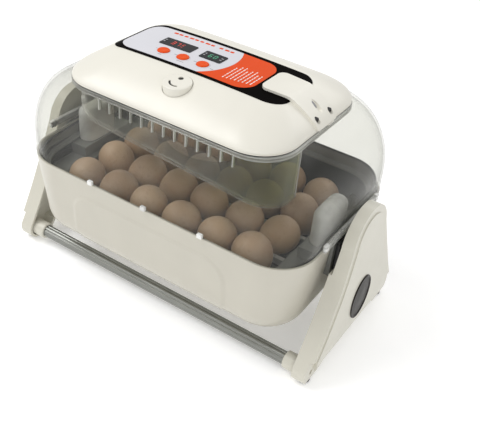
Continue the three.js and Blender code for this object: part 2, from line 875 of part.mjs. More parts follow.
add("stand_right", standShell(stand.upperInnerX + 3.5), cream);
add("stand_left", mirroredX(standShell(OUTER_WALL_X)), cream);
add("stand_inner_cover_right", innerCover(), cream);
add("bearing_bush_right", bearingBush(stand.upperInnerX + 3.5), bushBronze);
add("bearing_bush_left", mirroredX(bearingBush(OUTER_WALL_X - GAP)), bushBronze);
addPair("badge", badge(), badgeGrey);
for (const [side, signY] of [["front", -1], ["rear", 1]]) {
  const y = signY * stand.footY;
  add(`cross_rod_${side}`, geometryOf(cylinderX(rod.radius, -190, 190, 0, 0, 20)), rodGrey,
    0, y, stand.footZ);
  add(`rod_collar_${side}_right`, rodCollar(), cream, 0, y, stand.footZ);
  add(`rod_collar_${side}_left`, mirroredX(rodCollar()), cream, 0, y, stand.footZ);
  add(`foot_${side}_right`, rubberFoot(1, signY), rubber);
  add(`foot_${side}_left`, rubberFoot(-1, signY), rubber);
}
add("turning_motor", turningMotor(), motorSteel);
add("drive_pinion", drivePinion(), gearNylon);

add("tub", tubShell(), tubCream);
add("liner", linerShell(), linerGrey);
add("egg_bed", eggBed(), trayGrey);
[-egg.pitchY, 0, egg.pitchY].forEach((y, i) => {
  add(`row_divider_${i + 1}`, divider(y), dividerClear);
});
addPair("end_insert", endInsert(), insertGrey);
addPair("end_hump", endHump(), humpGrey);
addPair("pivot_block", pivotBlock(), black);
addPair("pivot_frame", pivotFrame(), frameGrey);
addPair("pivot_pin", pivotPin(), motorSteel);
add("drive_gear", driveGear(), gearNylon);

add("dome", domeShell(), clear);
addPair("end_clip", endClip(), clear);

add("unit_housing", unitHousing(), cream);
add("unit_base", unitBase(), frameGrey);
add("air_guide", airGuide(), tintedClear);
add("label_panel", labelPanel(), labelGrey);
add("temperature_display", displayWindow(display.temperature), displayBlack);
add("humidity_display", displayWindow(display.humidity), displayBlack);
add("circuit_board", circuitBoard(), boardGreen);
add("hood", hoodCover(), cream);
add("air_nozzle", connector(NOZZLE_Y, 2), black);
add("power_socket", connector(SOCKET_Y, 2.6), black);
add("unit_latch", unitLatch(), cream);
add("fan_motor", fanMotor(), motorSteel);
add("heater_ring", heaterRing(), heaterSteel);
add("sensor_probe", sensorProbe(), black);
add("fan", fanWheel(), linerGrey);
add("vent_knob", ventKnobBody(), cream);
button.xs.forEach((x, i) => {
  add(`button_${i + 1}`, pushButton(x), orange);
});

export default incubator;
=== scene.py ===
import json
import math
import random

import bmesh
import bpy
from mathutils import Matrix, Vector


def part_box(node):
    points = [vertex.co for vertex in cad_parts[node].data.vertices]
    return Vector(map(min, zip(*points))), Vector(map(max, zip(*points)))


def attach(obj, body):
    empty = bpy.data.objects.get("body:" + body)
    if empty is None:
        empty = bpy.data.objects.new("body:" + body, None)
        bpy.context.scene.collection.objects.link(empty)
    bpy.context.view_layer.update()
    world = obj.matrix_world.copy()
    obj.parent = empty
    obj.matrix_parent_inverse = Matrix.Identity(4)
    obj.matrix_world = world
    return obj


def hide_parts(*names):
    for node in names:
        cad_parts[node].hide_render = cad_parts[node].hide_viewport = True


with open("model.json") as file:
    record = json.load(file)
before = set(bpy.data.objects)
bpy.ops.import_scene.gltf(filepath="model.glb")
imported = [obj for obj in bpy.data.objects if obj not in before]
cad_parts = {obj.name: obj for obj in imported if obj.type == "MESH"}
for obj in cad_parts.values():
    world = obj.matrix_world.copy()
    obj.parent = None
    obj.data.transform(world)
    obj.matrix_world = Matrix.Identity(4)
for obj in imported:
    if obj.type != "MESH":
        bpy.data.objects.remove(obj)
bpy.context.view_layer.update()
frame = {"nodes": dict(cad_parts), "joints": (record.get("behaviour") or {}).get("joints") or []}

# An egg incubator: a cream tub of eggs under a clear cover and a control unit, tilting between
# two end stands joined by fluted rods. X runs along the rods, the front is at -Y.

MM = 0.001

# ---------------------------------------------------------------- sizes
TUB_LOW, TUB_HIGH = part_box("tub")
DOME_LOW, DOME_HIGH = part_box("dome")
UNIT_LOW, UNIT_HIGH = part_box("unit_housing")
GUIDE_LOW, GUIDE_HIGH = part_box("air_guide")
BED_LOW, BED_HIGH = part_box("egg_bed")
STAND_LOW, STAND_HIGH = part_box("stand_right")
PIN_LOW, PIN_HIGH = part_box("pivot_pin_right")
BUSH_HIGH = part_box("bearing_bush_right")[1]
BADGE_LOW, BADGE_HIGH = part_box("badge_right")
ROD_LOW, ROD_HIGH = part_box("cross_rod_rear")
COLLAR_LOW, COLLAR_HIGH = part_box("rod_collar_rear_right")
HOOD_LOW, HOOD_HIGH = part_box("hood")

PIVOT_Z = (PIN_LOW.z + PIN_HIGH.z) / 2
ROD_Y = (ROD_LOW.y + ROD_HIGH.y) / 2
ROD_Z = (ROD_LOW.z + ROD_HIGH.z) / 2
ROD_RADIUS = (ROD_HIGH.z - ROD_LOW.z) / 2

TUB_CORNER = 47 * MM
TUB_DRAFT_X = 7 * MM
TUB_DRAFT_Y = 5 * MM
TUB_FLOOR_RADIUS = 30 * MM
TUB_WALL = 3 * MM
LINER_FRONT_Z = 138 * MM
LINER_REAR_Z = 157 * MM
LINER_SIDE_POINTS = (24, 12)

DOME_SHOULDER_Z = 168 * MM
DOME_TOP_HALF = (133 * MM, 93 * MM)
DOME_TOP_CORNER = 42 * MM
DOME_OPEN_HALF = (129.5 * MM, 87.5 * MM)
DOME_WALL = 2.5 * MM

UNIT_LIP_Z = 246 * MM
UNIT_CORNER = 43 * MM
UNIT_SIDE_POINTS = (16, 8)
CROWN_HALF = (98 * MM, 45 * MM)
CROWN_CORNER = 26 * MM
CROWN_BULGE = 1.5
CROWN_DROP = 2 * MM  # how far the top falls off at the ends of the label
UNIT_WALL = 2.5 * MM

LABEL_MIN_X = -110 * MM
LABEL_MAX_X = 103 * MM
LABEL_MIDDLE_Y = 1 * MM
LABEL_HALF_Y = 39.5 * MM
LABEL_CORNER = 19 * MM
SURROUND_RISE = 0.5 * MM  # how far each printed layer stands out of the housing
ORANGE_RISE = 0.62 * MM
GREY_RISE = 0.72 * MM
BLOCK_RISE = 0.82 * MM
WINDOW_RISE = 1.3 * MM
BUTTON_GAP = 0.2 * MM

GUIDE_SLOT_Z = 216 * MM
GUIDE_DROOP = 10 * MM
GUIDE_CORNER = 34 * MM
GUIDE_WALL = 2 * MM

EGG_ROWS = 4
EGGS_IN_ROW = 6
EGG_PITCH_X = 45.2 * MM
EGG_PITCH_Y = 46 * MM
EGG_WIDTH = 43 * MM
EGG_LENGTH = 49 * MM
EGG_SINK = 2 * MM  # how far an egg settles between the slats

PORT_RADIUS = 2.8 * MM
HOOD_SLOPE = math.radians(52)
LUG_X = 203.7 * MM
SLANT_Y = -25 * MM
SLANT_ANGLE = math.radians(25.5)
CORNER_STEPS = 14


# ---------------------------------------------------------------- meshes
def ring(half_x, half_y, corner, z, centre=(0, 0), side_points=(1, 1)):
    """Points round a rectangle with round corners, counterclockwise from its +X side."""
    points = []
    for quarter in range(4):
        sign_x = (1, -1, -1, 1)[quarter]
        sign_y = (1, 1, -1, -1)[quarter]
        middle_x = centre[0] + sign_x * (half_x - corner)
        middle_y = centre[1] + sign_y * (half_y - corner)
        for step in range(CORNER_STEPS + 1):
            angle = math.pi / 2 * (quarter + step / CORNER_STEPS)
            x = middle_x + corner * math.cos(angle)
            y = middle_y + corner * math.sin(angle)
            points.append(Vector((x, y, z)))
        along_x = quarter in (0, 2)
        length = 2 * ((half_x if along_x else half_y) - corner)
        count = side_points[0] if along_x else side_points[1]
        heading = math.pi / 2 * (quarter + 2)
        direction = Vector((math.cos(heading), math.sin(heading), 0))
        start = points[-1].copy()
        for step in range(1, count):
            points.append(start + direction * (length * step / count))
    return points


def make_object(name, points, faces):
    mesh = bpy.data.meshes.new(name)
    mesh.from_pydata([tuple(point) for point in points], [], faces)
    mesh.validate()
    mesh.update()
    obj = bpy.data.objects.new(name, mesh)
    bpy.context.scene.collection.objects.link(obj)
    return obj


def loft(name, rings, looped=False):
    """A closed body through rings of equal length, capped at both ends unless it's looped."""
    count = len(rings[0])
    points = [point for each in rings for point in each]
    faces = []
    for level in range(len(rings) if looped else len(rings) - 1):
        low = level * count
        high = ((level + 1) % len(rings)) * count
        for i in range(count):
            j = (i + 1) % count
            faces.append((low + i, low + j, high + j, high + i))
    if not looped:
        faces.append(tuple(range(count - 1, -1, -1)))
        faces.append(tuple(range(len(points) - count, len(points))))
    return make_object(name, points, faces)


def prism(name, outline, low, high, axis="Z"):
    """An outline of (u, v) points drawn out along an axis: (x, y) along Z, (y, z) along X, (x, z) along Y."""
    def place(u, v, w):
        return Vector({"Z": (u, v, w), "X": (w, u, v), "Y": (u, w, v)}[axis])

    obj = loft(name, [[place(u, v, w) for u, v in outline] for w in (low, high)])
    make_normals_consistent(obj)
    return obj


def make_normals_consistent(obj):
    edit = bmesh.new()
    edit.from_mesh(obj.data)
    bmesh.ops.recalc_face_normals(edit, faces=edit.faces)
    edit.to_mesh(obj.data)
    edit.free()


def lathe(name, profile, origin, axis, steps=48, looped=False):
    """Turns a profile of (radius, distance along the axis) points round an axis."""
    turn = Vector((0, 0, 1)).rotation_difference(Vector(axis)).to_matrix()
    rings = []
    for radius, along in profile:
        circle = []
        for step in range(steps):
            angle = 2 * math.pi * step / steps
            local = Vector((radius * math.cos(angle), radius * math.sin(angle), along))
            circle.append(Vector(origin) + turn @ local)
        rings.append(circle)
    return loft(name, rings, looped)


def bar_along_x(name, radius, low_x, high_x, y, z, steps=48):
    return lathe(name, [(radius, low_x), (radius, high_x)], (0, y, z), (1, 0, 0), steps)


def collar(name, inner, outer, low, high, origin, axis, edge, steps=48):
    """A turned ring with a bore and rounded outer edges."""
    section = [
        (inner, low), (outer - edge, low), (outer - 0.3 * edge, low + 0.3 * edge),
        (outer, low + edge), (outer, high - edge), (outer - 0.3 * edge, high - 0.3 * edge),
        (outer - edge, high), (inner, high),
    ]
    return lathe(name, section, origin, axis, steps, looped=True)


def box(name, low, high):
    outline = [(low[0], low[1]), (high[0], low[1]), (high[0], high[1]), (low[0], high[1])]
    return prism(name, outline, low[2], high[2])


def bake_modifiers(obj):
    """Keeps the mesh that the object's modifiers make, and drops the modifiers."""
    graph = bpy.context.evaluated_depsgraph_get()
    graph.update()
    mesh = bpy.data.meshes.new_from_object(obj.evaluated_get(graph))
    old = obj.data
    obj.modifiers.clear()
    obj.data = mesh
    mesh.name = obj.name
    bpy.data.meshes.remove(old)


def carve(obj, cutter, operation="DIFFERENCE"):
    """Cuts, joins or intersects obj with cutter, which is used up."""
    modifier = obj.modifiers.new("carve", "BOOLEAN")
    modifier.object = cutter
    modifier.operation = operation
    modifier.solver = "EXACT"
    bake_modifiers(obj)
    bpy.data.objects.remove(cutter)
    return obj


def merge(name, parts):
    """One object from several, without joining their surfaces."""
    points = []
    faces = []
    for part in parts:
        start = len(points)
        points.extend(vertex.co.copy() for vertex in part.data.vertices)
        faces.extend(tuple(start + i for i in face.vertices) for face in part.data.polygons)
        bpy.data.objects.remove(part)
    return make_object(name, points, faces)


def bevel(obj, width, segments=3, angle=30):
    """Rounds the edges that turn by more than angle degrees."""
    modifier = obj.modifiers.new("edges", "BEVEL")
    modifier.width = width
    modifier.segments = segments
    modifier.limit_method = "ANGLE"
    modifier.angle_limit = math.radians(angle)


def soften(obj, rounding, angle, segments):
    """Rounds the sharp edges and shades the rest smooth."""
    if rounding:
        bevel(obj, rounding, segments, angle)
        bake_modifiers(obj)
    obj.data.shade_smooth()
    obj.data.set_sharp_from_angle(angle=math.radians(angle + 12))
    weighted = obj.modifiers.new("normals", "WEIGHTED_NORMAL")
    weighted.keep_sharp = True


def mirrored(obj, name):
    """A copy of obj reflected in the YZ plane."""
    points = [Vector((-v.co.x, v.co.y, v.co.z)) for v in obj.data.vertices]
    faces = [tuple(reversed(face.vertices)) for face in obj.data.polygons]
    return make_object(name, points, faces)


def on_side(obj, side, name):
    """Moves a piece made for the right end to the end it's for, and names it."""
    if side == "left":
        reflection = mirrored(obj, name)
        bpy.data.objects.remove(obj)
        obj = reflection
    obj.name = name
    return obj


def middle_of(node):
    low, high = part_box(node)
    return [(low[i] + high[i]) / 2 for i in range(3)]


def settle(obj, body, material, replaces=()):
    """Gives a finished piece its material, its body and the CAD nodes that it stands for."""
    obj.data.materials.clear()
    obj.data.materials.append(material)
    if replaces:
        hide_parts(*replaces)
    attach(obj, body)


def finish(obj, body, material, replaces=(), rounding=0.0, angle=40, segments=3):
    """Softens a piece and settles it."""
    soften(obj, rounding, angle, segments)
    settle(obj, body, material, replaces)


def keep_node(name, material, rounding):
    """A CAD node that stays, with rounded edges and its own material."""
    obj = frame["nodes"][name]
    obj.data.materials.clear()
    obj.data.materials.append(material)
    bevel(obj, rounding, 2, 32)


def quarter_turn(steps):
    """(sine, cosine) pairs from 0 to 90 degrees."""
    angles = [math.pi / 2 * i / steps for i in range(steps + 1)]
    return [(math.sin(angle), math.cos(angle)) for angle in angles]


# ---------------------------------------------------------------- materials
def linear(code):
    """A hex colour as linear RGBA."""
    values = [int(code[i:i + 2], 16) / 255 for i in (0, 2, 4)]
    return (*[v / 12.92 if v <= 0.04045 else ((v + 0.055) / 1.055) ** 2.4 for v in values], 1)


def scaled(colour, factor):
    return (*[min(1, channel * factor) for channel in colour[:3]], 1)


def add_node(tree, kind, inputs=None, **settings):
    node = tree.nodes.new("ShaderNode" + kind)
    for key, value in settings.items():
        setattr(node, key, value)
    for key, value in (inputs or {}).items():
        if isinstance(value, bpy.types.NodeSocket):
            tree.links.new(value, node.inputs[key])
        else:
            node.inputs[key].default_value = value
    return node


def noise(tree, scale, detail=3.0, stretch=(1, 1, 1)):
    """Noise in the object's own coordinates, stretched along an axis where stretch is small."""
    coordinates = add_node(tree, "TexCoord").outputs["Object"]
    mapping = add_node(tree, "Mapping", {"Vector": coordinates, "Scale": stretch})
    texture = add_node(
        tree, "TexNoise", {"Vector": mapping.outputs["Vector"], "Scale": scale, "Detail": detail}
    )
    return texture.outputs["Fac"]


def ramp(tree, factor, low_colour, high_colour, low=0.3, high=0.7):
    node = add_node(tree, "ValToRGB", {"Fac": factor})
    first, last = node.color_ramp.elements
    first.position, first.color = low, low_colour
    last.position, last.color = high, high_colour
    return node.outputs["Color"]


def spread(tree, factor, low, high):
    """Maps noise from its middle range to low..high."""
    node = add_node(
        tree, "MapRange", {"Value": factor, "From Min": 0.3, "From Max": 0.7, "To Min": low, "To Max": high}
    )
    return node.outputs["Result"]


def dull(material, specular):
    """Less mirror-like, for printed and matt surfaces."""
    material.node_tree.nodes["Principled BSDF"].inputs["Specular IOR Level"].default_value = specular
    return material


def blank_material(name):
    material = bpy.data.materials.new(name)
    material.use_nodes = True
    tree = material.node_tree
    return material, tree, tree.nodes["Principled BSDF"]


def mix_colours(tree, share, first, second, blend_type="MIX"):
    inputs = {0: share, 6: first, 7: second}
    return add_node(tree, "Mix", inputs, data_type="RGBA", blend_type=blend_type).outputs[2]


def dent(tree, shader, height, strength, distance=0.0002):
    """A bump map from noise."""
    bump = add_node(tree, "Bump", {"Height": height, "Strength": strength, "Distance": distance})
    tree.links.new(bump.outputs["Normal"], shader.inputs["Normal"])


def surface(
    name, code, roughness, grain=900, depth=0.04, mottle=0.03, metallic=0.0, coat=0.0,
    stretch=(1, 1, 1),
):
    """A moulded or brushed surface: faint mottling, uneven gloss and a fine grain."""
    material, tree, shader = blank_material(name)
    colour = linear(code)
    cloud = noise(tree, 26, 4)
    tint = ramp(tree, cloud, scaled(colour, 1 - mottle), scaled(colour, 1 + mottle))
    tree.links.new(tint, shader.inputs["Base Color"])
    patches = noise(tree, 75, 5, stretch)
    gloss = spread(tree, patches, max(0.02, roughness - 0.03), roughness + 0.04)
    tree.links.new(gloss, shader.inputs["Roughness"])
    dent(tree, shader, noise(tree, grain, 3, stretch), depth * 5)
    shader.inputs["Metallic"].default_value = metallic
    shader.inputs["Coat Weight"].default_value = coat
    shader.inputs["Coat Roughness"].default_value = 0.12
    return material


def clear(name, code, haze, edge_code="9da3a0", roughness=0.05, ripple=0.02, tint_x=None):
    """Clear plastic: see-through face on, mirroring and darker at a glancing angle."""
    material, tree, shader = blank_material(name)
    cloud = noise(tree, 18, 5)
    tree.links.new(ramp(tree, cloud, linear("d4d4d1"), linear("f4f4f2")), shader.inputs["Base Color"])
    gloss = spread(tree, noise(tree, 60, 4), roughness * 0.6, roughness * 1.6)
    tree.links.new(gloss, shader.inputs["Roughness"])
    dent(tree, shader, noise(tree, 40, 2), ripple, 0.002)
    facing = add_node(tree, "LayerWeight", {"Blend": 0.5}).outputs["Facing"]
    through = ramp(tree, facing, linear(code), linear(edge_code), 0.86, 1.0)
    if tint_x:
        start_x, end_x, tint_code = tint_x
        coordinates = add_node(tree, "TexCoord").outputs["Object"]
        across = add_node(tree, "SeparateXYZ", {"Vector": coordinates}).outputs["X"]
        share = add_node(
            tree, "MapRange",
            {"Value": across, "From Min": start_x, "From Max": end_x, "To Min": 0.0, "To Max": 1.0},
        ).outputs["Result"]
        through = mix_colours(tree, share, through, linear(tint_code))
    see_through = add_node(tree, "BsdfTransparent", {"Color": through})
    steep = add_node(tree, "Math", {0: facing, 1: 5.0}, operation="POWER").outputs["Value"]
    veil = spread(tree, cloud, haze * 0.7, haze * 1.3)
    share = add_node(tree, "Math", {0: steep, 1: 0.9, 2: veil}, operation="MULTIPLY_ADD", use_clamp=True)
    both = add_node(tree, "MixShader", {0: share.outputs["Value"], 1: see_through.outputs["BSDF"]})
    tree.links.new(shader.outputs["BSDF"], both.inputs[2])
    tree.links.new(both.outputs["Shader"], tree.nodes["Material Output"].inputs["Surface"])
    return material


def glowing(name, code, strength):
    """Lit display segments, a little uneven."""
    material, tree, shader = blank_material(name)
    colour = linear(code)
    lit = ramp(tree, noise(tree, 700, 2), scaled(colour, 0.8), scaled(colour, 1.1))
    tree.links.new(lit, shader.inputs["Base Color"])
    tree.links.new(lit, shader.inputs["Emission Color"])
    shader.inputs["Emission Strength"].default_value = strength
    shader.inputs["Roughness"].default_value = 0.4
    return material


def eggshell(name):
    """Brown eggshell: each egg a different brown, with faint freckles and fine pores."""
    material, tree, shader = blank_material(name)
    base = ramp(tree, noise(tree, 16, 2), linear("ac8f74"), linear("c6a98c"), 0.38, 0.62)
    freckles = noise(tree, 420, 4)
    speckle = ramp(tree, freckles, linear("94785f"), linear("ffffff"), 0.3, 0.42)
    shell = mix_colours(tree, 0.35, base, speckle, "MULTIPLY")
    tree.links.new(shell, shader.inputs["Base Color"])
    tree.links.new(spread(tree, noise(tree, 90, 4), 0.42, 0.6), shader.inputs["Roughness"])
    dent(tree, shader, noise(tree, 1500, 4), 0.25)
    shader.inputs["Subsurface Weight"].default_value = 0.08
    shader.inputs["Subsurface Radius"].default_value = (0.004, 0.002, 0.001)
    return material


CREAM = surface("cream_plastic", "e4e1d6", 0.33, grain=1100, depth=0.02, mottle=0.015)
STAND_CREAM = surface("stand_plastic", "d0cdc0", 0.33, grain=1100, depth=0.02, mottle=0.015)
TUB_CREAM = surface("tub_plastic", "c4c0b3", 0.33, grain=1000, mottle=0.02, coat=0.1)
ROD_GREY = surface("rod_metal", "8f908b", 0.32, 1500, 0.06, 0.05, 0.75, stretch=(0.03, 1, 1))
RUBBER = surface("foot_rubber", "1d1d1c", 0.8, grain=1600, depth=0.12, mottle=0.15)
BADGE_GREY = surface("badge_plastic", "2b2724", 0.4, coat=0.1, mottle=0.08)
BLACK = surface("black_plastic", "0d0c0b", 0.35, coat=0.2, mottle=0.1)
FRAME_DARK = surface("gasket_rubber", "2b2b29", 0.6, mottle=0.06)
FRAME_GREY = surface("frame_plastic", "72736f", 0.42, mottle=0.05)
LINER_GREY = surface("liner_plastic", "363836", 0.36, mottle=0.08, coat=0.15)
RIM_GREY = surface("rim_plastic", "6c6c67", 0.4, mottle=0.06)
INSERT_GREY = surface("insert_plastic", "737470", 0.42, mottle=0.05)
HUMP_GREY = clear("hump_plastic", "f0f0ec", 0.62, edge_code="b9bab4", roughness=0.2)
TRAY_GREY = surface("tray_plastic", "535750", 0.42, mottle=0.06)
DIVIDER_CLEAR = clear("divider_plastic", "f0f1ec", 0.85, roughness=0.15)
DOME_CLEAR = clear("dome_plastic", "f6f6f4", 0.03, edge_code="6a6a66", roughness=0.03)
CLIP_CLEAR = clear("clip_plastic", "f4f4f2", 0.3, edge_code="7c7c78", roughness=0.05, ripple=0.2)
GUIDE_CLEAR = clear(
    "guide_plastic", "fafaf6", 0.05, edge_code="8d9088", roughness=0.1, ripple=0.12,
    tint_x=(55 * MM, 115 * MM, "e9ecca"),
)
RIB_CLEAR = clear("rib_plastic", "f4f6f6", 0.75, roughness=0.1)
BEAD_CLEAR = clear("bead_plastic", "f4f4f2", 0.55, edge_code="6a6a66", roughness=0.06)
TAB_CLEAR = clear("tab_plastic", "fafaf8", 0.9, roughness=0.15)
LABEL_BLACK = surface("label_black", "060403", 0.4, mottle=0.1, depth=0.01)
LABEL_GREY = surface("label_grey", "d2d2d7", 0.4, mottle=0.02, depth=0.01)
LABEL_ORANGE = surface("label_orange", "dd4a10", 0.42, mottle=0.03, depth=0.01)
PRINT_WHITE = surface("print_white", "eeeae4", 0.5, mottle=0.03)
PRINT_GREY = surface("print_grey", "9a9a9c", 0.5, mottle=0.04)
WINDOW_BLACK = surface("window_black", "15161a", 0.14, coat=0.15, mottle=0.1, depth=0.005)
RED_DIGITS = glowing("red_digits", "c2463c", 0.5)
GREEN_DIGITS = glowing("green_digits", "4f9a78", 0.4)
BUTTON_ORANGE = surface("button_orange", "e25016", 0.4, mottle=0.04)
BOARD_GREEN = surface("board_green", "1f5a3a", 0.45, grain=2400, depth=0.1, mottle=0.12)
STEEL = surface("motor_steel", "a4a5a6", 0.32, 1800, 0.06, 0.05, 0.9, stretch=(1, 1, 0.05))
HEATER = surface("heater_steel", "b0a79a", 0.38, 1400, 0.08, 0.1, 0.9)
NYLON = surface("gear_nylon", "e9e7dc", 0.45, mottle=0.03)
BRONZE = surface("bush_bronze", "a88a55", 0.36, 1500, 0.08, 0.1, 0.85)
EGGSHELL = eggshell("eggshell")
dull(LABEL_BLACK, 0.01)
for printed_surface in (LABEL_ORANGE, LABEL_GREY, BUTTON_ORANGE, BADGE_GREY, WINDOW_BLACK):
    dull(printed_surface, 0.12)


# ---------------------------------------------------------------- cradle
ARCH_Z = 138 * MM
ARCH_RADIUS = 39 * MM
ARCH_END = 0.15
WAIST_Y = 63 * MM
WAIST_Z = 78 * MM
FOOT_RADIUS = 14.5 * MM
FOOT_START = 0.5
SOLE_Z = 1.5 * MM
BELLY_Z = 11 * MM
SHELF_Z = 116 * MM
SHELF_X = 191.5 * MM
STAND_WALL = 3 * MM
STAND_EDGE = 1.6 * MM
STAND_SPAN = 120 * MM  # further than the stand reaches to the front and back
PANEL_INSET = 8.5 * MM
PANEL_RISE = 1.3 * MM
LUG_BOTTOM_Y = 73 * MM
LUG_TOP_Y = 86 * MM
LUG_TOP_Z = 33 * MM
SCREW_RADIUS = 3.2 * MM
SCREW_DEPTH = 1.8 * MM
ROD_FLUTES = 8
FLUTE_DEPTH = 0.9 * MM
OVER = 1 * MM  # how far a cutter reaches past what it cuts
BUSH_RADIUS = 10.3 * MM
BOSS_RADIUS = 14 * MM


def arc(centre, radius, start, end, steps):
    angles = [start + (end - start) * i / steps for i in range(steps + 1)]
    return [(centre[0] + radius * math.cos(a), centre[1] + radius * math.sin(a)) for a in angles]


def bend(start, control, end, steps):
    """Points along a quadratic curve, without its first point."""
    points = []
    for i in range(1, steps + 1):
        t = i / steps
        weights = ((1 - t) ** 2, 2 * t * (1 - t), t * t)
        points.append(
            tuple(sum(w * p[k] for w, p in zip(weights, (start, control, end))) for k in (0, 1))
        )
    return points


def stand_outline(inset):
    """A stand's outline as (y, z) points: a round arch that runs into two feet."""
    half = arc((0, ARCH_Z), ARCH_RADIUS - inset, math.pi / 2, ARCH_END, 20)
    foot = arc((ROD_Y, ROD_Z), FOOT_RADIUS - inset, FOOT_START, -math.pi / 2, 14)
    half += bend(half[-1], (WAIST_Y - inset, WAIST_Z), foot[0], 14)
    half += foot[1:]
    heel = (ROD_Y - 14 * MM + inset, foot[-1][1])
    half.append(heel)
    half += bend(heel, (heel[0] - 7 * MM, heel[1]), (heel[0] - 14 * MM, BELLY_Z + inset), 8)
    half = [(y, max(z, SOLE_Z + inset)) for y, z in half]
    return half + [(-y, z) for y, z in reversed(half[1:])]


def face_profile(inset):
    """(x, z) points of the stand's outer face, which bulges at badge height, and of a back wall."""
    knots = [(-5, 203), (14, 206.4), (32, 208.7), (48, 209), (76, 209), (92, 208.9),
             (116, 208.2), (140, 207), (160, 206), (190, 205)]
    face = [(x * MM - inset, z * MM) for z, x in knots]
    back_x = STAND_LOW.x - 10 * MM
    return [(back_x, face[0][1]), *face, (back_x, face[-1][1])]


def lug_space(sign, grow):
    """The space in front of a foot lug, whose face lies deeper than the panel above it."""
    far_y = 110 * MM
    low_z = -5 * MM
    top_z = LUG_TOP_Z + grow
    lug = [(LUG_BOTTOM_Y - grow, low_z), (far_y, low_z), (far_y, top_z), (LUG_TOP_Y - grow, top_z)]
    points = [(sign * y, z) for y, z in lug]
    return prism("lug", points, LUG_X - grow, STAND_HIGH.x + 2 * OVER, "X")


def behind_face(inset):
    """Everything behind the stand's outer face, or behind that face moved inwards."""
    return prism("face", face_profile(inset), -STAND_SPAN, STAND_SPAN, "Y")


def stand_shell(name):
    """A hollow stand, open on its inner face, with a boss for the bearing."""
    near_x = STAND_LOW.x
    far_x = STAND_HIGH.x
    body = prism(name, stand_outline(0), near_x, far_x, "X")
    carve(body, behind_face(0), "INTERSECT")
    border = prism("border", stand_outline(-2 * OVER), near_x, far_x + OVER, "X")
    carve(border, prism("panel", stand_outline(PANEL_INSET), near_x, far_x + 2 * OVER, "X"))
    carve(border, behind_face(PANEL_RISE))
    carve(body, border)
    for sign in (-1, 1):
        carve(body, lug_space(sign, 0))
        hole = (LUG_X - SCREW_DEPTH, LUG_X + 2 * OVER, sign * ROD_Y, ROD_Z)
        carve(body, bar_along_x("screw_hole", SCREW_RADIUS, *hole, 32))
    bevel(body, STAND_EDGE, 4, 50)
    bake_modifiers(body)
    above_z = 200 * MM
    carve(body, box("upper", (near_x - OVER, -STAND_SPAN, SHELF_Z), (SHELF_X, STAND_SPAN, above_z)))
    hollow = prism("hollow", stand_outline(STAND_WALL), near_x - OVER, far_x, "X")
    carve(hollow, behind_face(STAND_WALL), "INTERSECT")
    low = (near_x - 2 * OVER, -STAND_SPAN, SHELF_Z - STAND_WALL)
    carve(hollow, box("shelf", low, (SHELF_X + STAND_WALL, STAND_SPAN, above_z)))
    for sign in (-1, 1):
        carve(hollow, lug_space(sign, STAND_WALL))
    carve(body, hollow)
    boss = bar_along_x("boss", BOSS_RADIUS, SHELF_X + OVER, BUSH_HIGH.x, 0, PIVOT_Z)
    carve(body, boss, "UNION")
    carve(body, bar_along_x("bore", BUSH_RADIUS, SHELF_X - 5 * OVER, PIN_HIGH.x, 0, PIVOT_Z))
    return body


def build_stands():
    right = stand_shell("stand_right_shell")
    left = mirrored(right, "stand_left_shell")
    for obj, side in ((right, "right"), (left, "left")):
        finish(obj, "stand", STAND_CREAM, [f"stand_{side}"], angle=30)


def build_badges():
    """Oval badges with a raised rim round a shallow dish, and no lettering."""
    half_y = (BADGE_HIGH.y - BADGE_LOW.y) / 2
    half_z = (BADGE_HIGH.z - BADGE_LOW.z) / 2
    middle_z = (BADGE_HIGH.z + BADGE_LOW.z) / 2
    base_x = STAND_HIGH.x - 0.3 * MM
    rise = BADGE_HIGH.x - base_x
    levels = [(0, 0), (0, 0.7), (0.3, 0.95), (1.0, 1.0), (1.8, 0.95), (2.3, 0.55), (3.0, 0.45),
              (9, 0.62), (9.6, 0.7), (10.2, 0.62), (14, 0.7), (18, 0.74), (21, 0.75)]
    for side, sign in (("right", 1), ("left", -1)):
        rings = []
        for inset, height in levels:
            circle = []
            for step in range(72):
                angle = 2 * math.pi * step / 72
                y = (half_y - inset * MM) * math.cos(angle)
                z = middle_z + (half_z - inset * MM) * math.sin(angle)
                circle.append(Vector((sign * (base_x + rise * height), y, z)))
            rings.append(circle)
        obj = loft(f"badge_{side}_face", rings)
        make_normals_consistent(obj)
        finish(obj, "stand", BADGE_GREY, [f"badge_{side}"])


def build_rod(side, y):
    """A fluted rod with chamfered ends."""
    chamfer = 0.6 * MM
    steps = ROD_FLUTES * 12
    ends = ((ROD_LOW.x, chamfer), (ROD_LOW.x + chamfer, 0), (ROD_HIGH.x - chamfer, 0), (ROD_HIGH.x, chamfer))
    rings = []
    for x, shrink in ends:
        section = []
        for step in range(steps):
            angle = 2 * math.pi * step / steps
            groove = max(0.0, math.cos(ROD_FLUTES * angle)) ** 1.5
            radius = ROD_RADIUS - shrink - FLUTE_DEPTH * groove
            section.append(Vector((x, y + radius * math.cos(angle), ROD_Z + radius * math.sin(angle))))
        rings.append(section)
    rod = loft(f"fluted_rod_{side}", rings)
    make_normals_consistent(rod)
    finish(rod, "stand", ROD_GREY, [f"cross_rod_{side}"], angle=50)


def build_collar(side, end, y):
    """The sleeve that a rod sits in."""
    inner = ROD_RADIUS + 0.1 * MM
    outer = (COLLAR_HIGH.z - COLLAR_LOW.z) / 2
    far_x = COLLAR_HIGH.x - 4 * MM
    sleeve = collar("sleeve", inner, outer, COLLAR_LOW.x, far_x, (0, y, ROD_Z), (1, 0, 0), 1.4 * MM)
    sleeve = on_side(sleeve, end, f"collar_{side}_{end}")
    make_normals_consistent(sleeve)
    finish(sleeve, "stand", STAND_CREAM, [f"rod_collar_{side}_{end}"])


